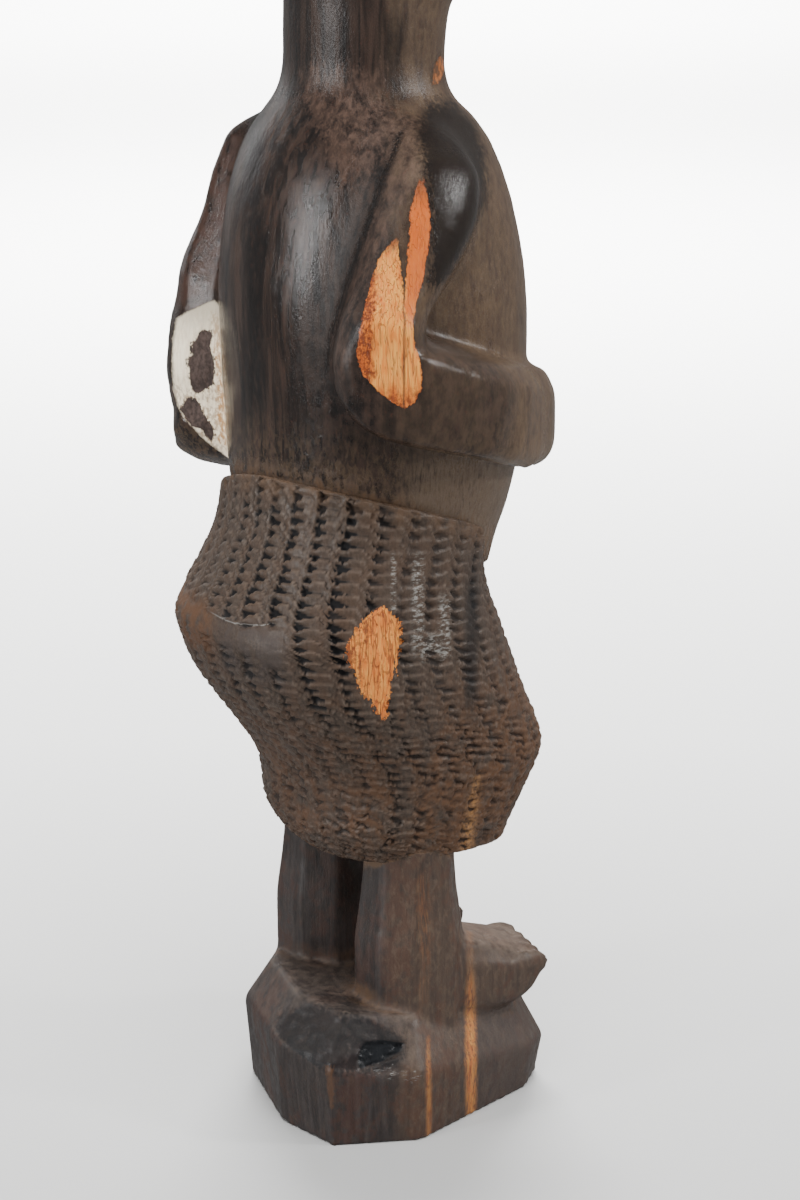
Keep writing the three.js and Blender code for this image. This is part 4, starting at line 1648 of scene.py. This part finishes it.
        # The smooth grey seat, and painted shade over the front.
        rubbed = s.times(s.band(s.z, 136, 152, 3), s.band(s.right, -38, -20, 2))
        rubbed = s.times(rubbed, s.step(s.sum(mottle, s.times(broad, 0.3)), 0.5, 0.75))
        colour = s.tint(s.times(rubbed, 0.6), colour, self.grey_black)
        front_shade = s.times(s.times(s.front(), 0.65), s.less(1.0, pit_and_shade))
        colour = s.tint(front_shade, colour, s.tint(0.4, self.front_shade, self.skirt_brown))
        rough = s.blend(s.step(mottle, 0.3, 0.7), 0.42, 0.62)
        rough = s.blend(pit_and_shade, rough, 0.8)
        rough = s.blend(shine, rough, 0.28)
        crumb = s.noise(0.5, tall=1.2, detail=4, seed=56.0)
        height = s.sum(s.times(grain, 0.10), s.times(crumb, 0.08))
        colour, rough, height = self.scar_and_hem(s, colour, rough, height, pit_and_shade, speck)
        return s.finish(colour, rough, height)

    def rubbed_and_glinting_edges(self, s: Sketch, beside: object) -> bpy.types.NodeSocket:
        """Columns of the skirt whose chip edges are rubbed bright and carry painted glints.

        Args:
            s: The material in work.
            beside: 1 on the side that shows them.

        Returns:
            How far each point is rubbed and painted with glints, 0 to 1.
        """
        # Left and right edge, softness, lowest and highest point, and softness again.
        columns = (
            (8.0, 9.2, 0.5, 156, 171, 2),
            (13.6, 16.6, 0.8, 145, 170, 3),
            (20.8, 23.8, 0.9, 141, 158, 3),
            (16.0, 21.5, 0.8, 142, 148.5, 1.5),
        )
        worn = 0.0
        for left, right, side_soft, low, high, end_soft in columns:
            tall = s.band(s.z, low, high, end_soft)
            worn = s.most(worn, s.times(s.band(s.right, left, right, side_soft), tall))
        scuff = s.step(s.noise(2.2, tall=0.35, detail=4, roughness=0.7, seed=52.0), 0.46, 0.62)
        return s.times(s.times(worn, beside), scuff)

    def seat_crease_highlight(self, s: Sketch, grain: object) -> bpy.types.NodeSocket:
        """The thin pale crease over the smooth seat: a painted highlight on its small ledge.

        Args:
            s: The material in work.
            grain: Fine fibres, which break it up.

        Returns:
            How far each point lies in it, 0 to 1.
        """
        sag = s.math("POWER", s.times(s.less(s.right, CREASE_MIDDLE), 0.1), 2.0)
        slope = s.times(s.less(s.right, CREASE_START), CREASE_SLOPE)
        line = s.sum(slope, s.sum(s.times(sag, CREASE_SAG), CREASE_HEIGHT))
        crease = s.less(s.z, line)
        crease = s.times(s.band(crease, -0.05, 0.2, 0.15), s.band(s.right, -39.5, -24, 3))
        broken = s.sum(grain, s.times(s.step(s.right, -20, -32), 0.2))
        crease = s.times(crease, s.step(broken, 0.45, 0.62))
        return s.times(crease, s.step(s.near, -24, -14))

    def scar_and_hem(
        self, s: Sketch, colour: object, rough: object, height: object, pit_and_shade: object, speck: object
    ) -> tuple:
        """The scar of orange sapwood on the skirt and the faint streak down to its hem.

        Args:
            s: The material in work.
            colour: The colour so far.
            rough: The roughness so far.
            height: The relief so far.
            pit_and_shade: How much painted shade each point has in the pits, 0 to 1.
            speck: Small clouds, which break up the streak.

        Returns:
            The colour, the roughness and the relief with both added.
        """
        wood, relief = self.sapwood(s, glossy=False)
        dirt = s.noise(1.6, tall=1.1, detail=5, roughness=0.7, seed=58.0)
        worn_edge = s.step(s.less(s.right, s.times(s.less(s.z, 134), 0.05)), 3.5, -2.0)
        dirt = s.step(s.sum(dirt, s.times(worn_edge, 0.1)), 0.55, 0.66)
        scar_wood = s.tint(s.times(dirt, 0.6), s.tint(0.2, wood, self.deep_orange), self.rust_speck)
        scar = s.patch(SKIRT_SCAR)
        colour = s.tint(scar, colour, scar_wood)
        hem = s.times(s.patch(HEM_STREAK, 1.4), s.step(speck, 0.3, 0.6))
        hem = s.times(hem, s.step(pit_and_shade, 0.7, 0.2))
        colour = s.tint(hem, colour, s.tint(0.62, self.ochre, self.rust_brown))
        rough = s.blend(scar, rough, 0.6)
        height = s.sum(height, s.times(scar, s.times(relief, 1.6)))
        return colour, rough, height

    def pared(self, s: Sketch) -> bpy.types.Material:
        """Legs, feet and base: knife-cut, streaky and dusty.

        Args:
            s: The material in work.

        Returns:
            The finished material.
        """
        grain = s.noise(0.42, tall=34, detail=4, roughness=0.6, seed=61.0)
        streak = s.noise(1.9, tall=18, detail=4, bend=0.6, seed=64.0)
        mottle = s.noise(2.8, tall=1.3, detail=5, roughness=0.6, seed=67.0)
        broad = s.noise(12, tall=3, detail=2, seed=70.0)
        brown = s.step(s.sum(s.right, s.times(s.less(broad, 0.5), 20)), 4, 14)
        dark = s.tint(0.4, self.black, self.grey_black)
        colour = s.tint(s.step(streak, 0.3, 0.8), dark, self.grey_black)
        wavy = s.blend(s.step(s.sum(streak, s.times(mottle, 0.6)), 0.45, 1.1), 0.3, 0.9)
        colour = s.tint(s.times(brown, wavy), colour, self.pared_brown)
        colour = s.tint(s.times(s.step(grain, 0.5, 0.8), 0.25), colour, self.red_brown)
        colour = s.tint(s.times(s.step(grain, 0.45, 0.2), 0.18), colour, self.black)
        reddish = s.times(s.step(s.times(mottle, broad), 0.22, 0.34), 0.35)
        colour = s.tint(reddish, colour, self.red_brown)
        blotch = s.noise(2.2, tall=1.8, detail=5, roughness=0.7, bend=0.5, seed=73.0)
        blotch = s.times(s.step(blotch, 0.46, 0.66), s.blend(brown, 0.12, 0.45))
        colour = s.tint(blotch, colour, s.tint(0.3, self.olive_brown, self.grey_dust))
        # Painted shade: the right side of the base darkened.
        corner = s.times(s.times(s.step(s.right, 24, 34), s.step(s.z, 34, 26)), 0.5)
        colour = s.tint(corner, colour, self.grey_black)
        # Dust in the hollows, but not in the rim's split; what faces up gets dust and painted
        # top light.
        hollow = s.attribute("hollow")
        dusty = s.step(s.sum(hollow, s.times(s.less(mottle, 0.5), 0.3)), 0.1, 0.34)
        dusty = s.times(dusty, s.sum(s.times(s.step(s.right, -12, 2), 0.8), 0.2))
        split = s.times(s.band(s.right, -4, 14, 2), s.band(s.z, 20, 32, 1.5))
        dusty = s.times(dusty, s.less(1.0, split))
        upward = s.add("ShaderNodeSeparateXYZ")
        s.feed(upward.inputs[0], s.add("ShaderNodeNewGeometry").outputs["Normal"])
        dust_and_top_light = s.times(s.step(upward.outputs["Z"], 0.35, 0.8), s.step(mottle, 0.25, 0.75))
        colour = s.tint(s.times(dust_and_top_light, 0.8), colour, self.grey_dust)
        colour = s.tint(s.times(dusty, 0.85), colour, self.dust)
        rough = s.blend(s.step(mottle, 0.3, 0.7), 0.38, 0.6)
        rough = s.blend(dusty, rough, 0.9)
        height = s.sum(s.times(grain, 0.08), s.times(mottle, 0.09))
        colour, height = self.sap_streaks(s, colour, height, grain, dusty)
        colour, rough = self.rim(s, colour, rough, mottle)
        return s.finish(colour, rough, height)

    def sap_streaks(
        self, s: Sketch, colour: object, height: object, grain: object, dusty: object
    ) -> tuple:
        """Streaks of orange sapwood down the right leg, the foot and the base.

        Args:
            s: The material in work.
            colour: The colour so far.
            height: The relief so far.
            grain: Fine fibres, which break the streaks up.
            dusty: Where dust lies, 0 to 1.

        Returns:
            The colour and the relief with the streaks added.
        """
        wood, relief = self.sapwood(s, glossy=False)
        streaks = s.most(s.patch(FOOT_STREAK, 1.1), s.times(s.patch(BASE_STREAK, 0.7), 0.6))
        faint = s.blend(s.step(s.z, 45, 38), 0.1, s.blend(s.step(s.z, 33, 25), 0.4, 0.75))
        streaks = s.times(streaks, s.times(faint, s.blend(s.step(grain, 0.3, 0.55), 0.6, 1.0)))
        on_leg = s.times(s.patch(LEG_STREAK, 1.8), s.times(0.12, s.step(grain, 0.4, 0.6)))
        streaks = s.most(streaks, on_leg)
        seen = s.times(streaks, s.blend(dusty, 0.95, 0.6))
        colour = s.tint(seen, colour, s.tint(0.25, wood, self.dust))
        height = s.sum(height, s.times(streaks, s.times(relief, 0.3)))
        return colour, height

    def rim(self, s: Sketch, colour: object, rough: object, mottle: object) -> tuple:
        """The blackened, split and scratched rim of the base, with painted shade in the split, and
        its worn corner.

        Args:
            s: The material in work.
            colour: The colour so far.
            rough: The roughness so far.
            mottle: Small clouds.

        Returns:
            The colour and the roughness with the rim's marks added.
        """
        # The rim's black patch, and painted shade in its split.
        black_rim_and_split_shade = s.times(s.patch(RIM_BLACK, 1.8), s.step(mottle, 0.25, 0.5))
        black_rim_and_split_shade = s.most(s.times(black_rim_and_split_shade, 0.75), s.patch(RIM_SPLIT, 0.3))
        colour = s.tint(black_rim_and_split_shade, colour, self.black_and_pit_shade)
        rough = s.blend(black_rim_and_split_shade, rough, 0.42)
        scrape = s.noise(2.6, tall=0.22, detail=4, roughness=0.75, bend=0.6, seed=77.0)
        scrape = s.times(s.patch(RIM_SCRATCHES, 1.0), s.step(scrape, 0.56, 0.68))
        colour = s.tint(s.times(scrape, 0.6), colour, self.scratched)
        rough = s.blend(scrape, rough, 0.28)
        colour = s.tint(s.times(s.patch(CORNER_WEAR, 0.5), 0.6), colour, self.rust_brown)
        return colour, rough


@dataclass(frozen=True)
class Lamp:
    """A soft rectangular lamp.

    Azimuth and elevation say, in degrees, where it stands from the point that it faces, and
    distance how far, in metres. Its size is in metres and its power in watts. It faces the
    figure, or where beyond is given, the floor that far behind it.
    """

    name: str
    azimuth: float
    elevation: float
    distance: float
    size: tuple
    power: float
    beyond: float = 0.0
    mirrored: bool = True

    def hang(self, far: Vector) -> bpy.types.Object:
        """Hangs the lamp in its place.

        Args:
            far: Direction from the figure to the floor behind it.

        Returns:
            The lamp.
        """
        a, e = math.radians(self.azimuth), math.radians(self.elevation)
        back = Vector((math.sin(a) * math.cos(e), -math.cos(a) * math.cos(e), math.sin(e)))
        aim = far * self.beyond if self.beyond else Vector((0, 0, 0.2))
        data = bpy.data.lights.new(self.name, "AREA")
        data.shape = "RECTANGLE"
        data.size, data.size_y = self.size
        data.energy = self.power
        lamp = bpy.data.objects.new(self.name, data)
        lamp.visible_glossy = self.mirrored
        lamp.location = aim + back * self.distance
        lamp.rotation_mode = "QUATERNION"
        lamp.rotation_quaternion = (-back).to_track_quat("-Z", "Y")
        bpy.context.collection.objects.link(lamp)
        return lamp


@dataclass
class Studio:
    """A pale floor, soft light and the camera.

    The camera's distance and height are millimetres and its angles degrees. Its lens and the
    figure's place in the frame are given in pixels of a frame 1200 high. The floor is darker
    in front of the figure than behind it, as painted shade falling off towards the front.
    """

    azimuth: float = 236.0
    distance: float = 758.0
    height: float = 370.0
    pitch: float = 16.5
    lens_pixels: float = 2805.0
    axis_pixels: float = -15.0
    frame_pixels: float = 1200.0
    sky: float = 0.32
    floor_size: float = 20.0
    floor_front_shade: tuple = (0.30, 0.30, 0.298)
    floor_behind_lit: tuple = (0.61, 0.61, 0.603)
    floor_turn: tuple = (-0.28, 0.3)
    lamps: tuple = (
        Lamp("overhead_softbox", 236, 64, 1.5, (1.2, 1.2), 41.0, mirrored=False),
        Lamp("left_strip", 178, 9, 2.4, (0.15, 0.8), 38.0),
        Lamp("left_panel", 97, 16, 2.0, (0.5, 0.8), 3.0),
        Lamp("right_strip", 315, 26, 1.4, (0.15, 0.22), 10.0),
        Lamp("right_fill", 285, 12, 2.2, (1.2, 0.8), 17.0, mirrored=False),
        Lamp("sweep_near", 236, 89.9, 0.9, (1.2, 0.9), 155.0, beyond=1.5, mirrored=False),
        Lamp("sweep_far", 236, 89.9, 1.5, (2.6, 3.0), 900.0, beyond=4.2, mirrored=False),
    )

    def camera(self) -> bpy.types.Object:
        """The camera, standing behind the figure's right shoulder and looking down on it.

        Returns:
            The camera, made the scene's own.
        """
        azimuth, pitch = math.radians(self.azimuth), math.radians(self.pitch)
        yaw = math.atan(-self.axis_pixels / self.lens_pixels * math.cos(pitch))
        back = Vector((math.sin(azimuth), -math.cos(azimuth), 0))
        right = Vector((math.cos(azimuth), math.sin(azimuth), 0))
        ahead = right * math.sin(yaw) - back * math.cos(yaw)
        ahead = ahead * math.cos(pitch) - Vector((0, 0, math.sin(pitch)))
        data = bpy.data.cameras.new("studio_camera")
        data.sensor_fit = "AUTO"
        data.sensor_width = 36.0
        data.lens = self.lens_pixels / self.frame_pixels * data.sensor_width
        data.clip_start, data.clip_end = 0.01, 50.0
        camera = bpy.data.objects.new("studio_camera", data)
        place = back * self.distance + Vector((0, LEG_LINE_Y, self.height))
        camera.location = place * MM
        camera.rotation_mode = "QUATERNION"
        camera.rotation_quaternion = ahead.to_track_quat("-Z", "Y")
        bpy.context.collection.objects.link(camera)
        bpy.context.scene.camera = camera
        return camera

    def floor(self) -> bpy.types.Object:
        """A wide pale floor, its colour painted darker towards the front as shade.

        Returns:
            The floor, staged.
        """
        bm = bmesh.new()
        bmesh.ops.create_grid(bm, x_segments=1, y_segments=1, size=self.floor_size)
        pale = bpy.data.materials.new("pale_floor")
        pale.use_nodes = True
        nodes, link = pale.node_tree.nodes, pale.node_tree.links.new
        shader = nodes["Principled BSDF"]
        shader.inputs["Roughness"].default_value = 0.75
        place = nodes.new("ShaderNodeTexCoord")
        away = math.radians(self.azimuth)
        depth = nodes.new("ShaderNodeVectorMath")
        depth.operation = "DOT_PRODUCT"
        depth.inputs[1].default_value = (-math.sin(away), math.cos(away), 0)
        link(place.outputs["Object"], depth.inputs[0])
        turn = nodes.new("ShaderNodeMapRange")
        turn.inputs["From Min"].default_value = self.floor_turn[0]
        turn.inputs["From Max"].default_value = self.floor_turn[1]
        link(depth.outputs["Value"], turn.inputs["Value"])
        # Painted shade: the floor's colour darkens towards the front.
        tone = nodes.new("ShaderNodeMix")
        tone.data_type = "RGBA"
        tone.inputs["A"].default_value = (*self.floor_front_shade, 1)
        tone.inputs["B"].default_value = (*self.floor_behind_lit, 1)
        link(turn.outputs["Result"], tone.inputs["Factor"])
        link(tone.outputs["Result"], shader.inputs["Base Color"])
        floor = make_piece("floor", bm, pale)
        floor.visible_glossy = False
        return floor

    def build(self) -> None:
        """Sets the whole studio up."""
        world = bpy.data.worlds.new("studio")
        world.use_nodes = True
        background = world.node_tree.nodes["Background"]
        background.inputs["Color"].default_value = (1, 1, 1, 1)
        background.inputs["Strength"].default_value = self.sky
        bpy.context.scene.world = world
        self.floor()
        self.camera()
        away = math.radians(self.azimuth)
        far = Vector((-math.sin(away), math.cos(away), 0))
        for lamp in self.lamps:
            lamp.hang(far)


def main() -> None:
    """Builds the figure's pieces in order and sets the studio."""
    logging.basicConfig(level=logging.INFO, format="%(name)s: %(message)s")
    finish = Blackwood()
    whole = whole_solid()
    solid = BVHTree.FromBMesh(whole)
    whole.free()
    pieces = [
        LowerBody().build(finish, solid),
        CarvedSkirt().build(finish),
        UpperBody().build(finish, solid),
    ]
    for piece in pieces:
        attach(piece, "root")
        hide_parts("figure")
        LOG.info("%s has %d faces", piece.name, len(piece.data.polygons))
    Studio().build()


if __name__ == "__main__":
    main()
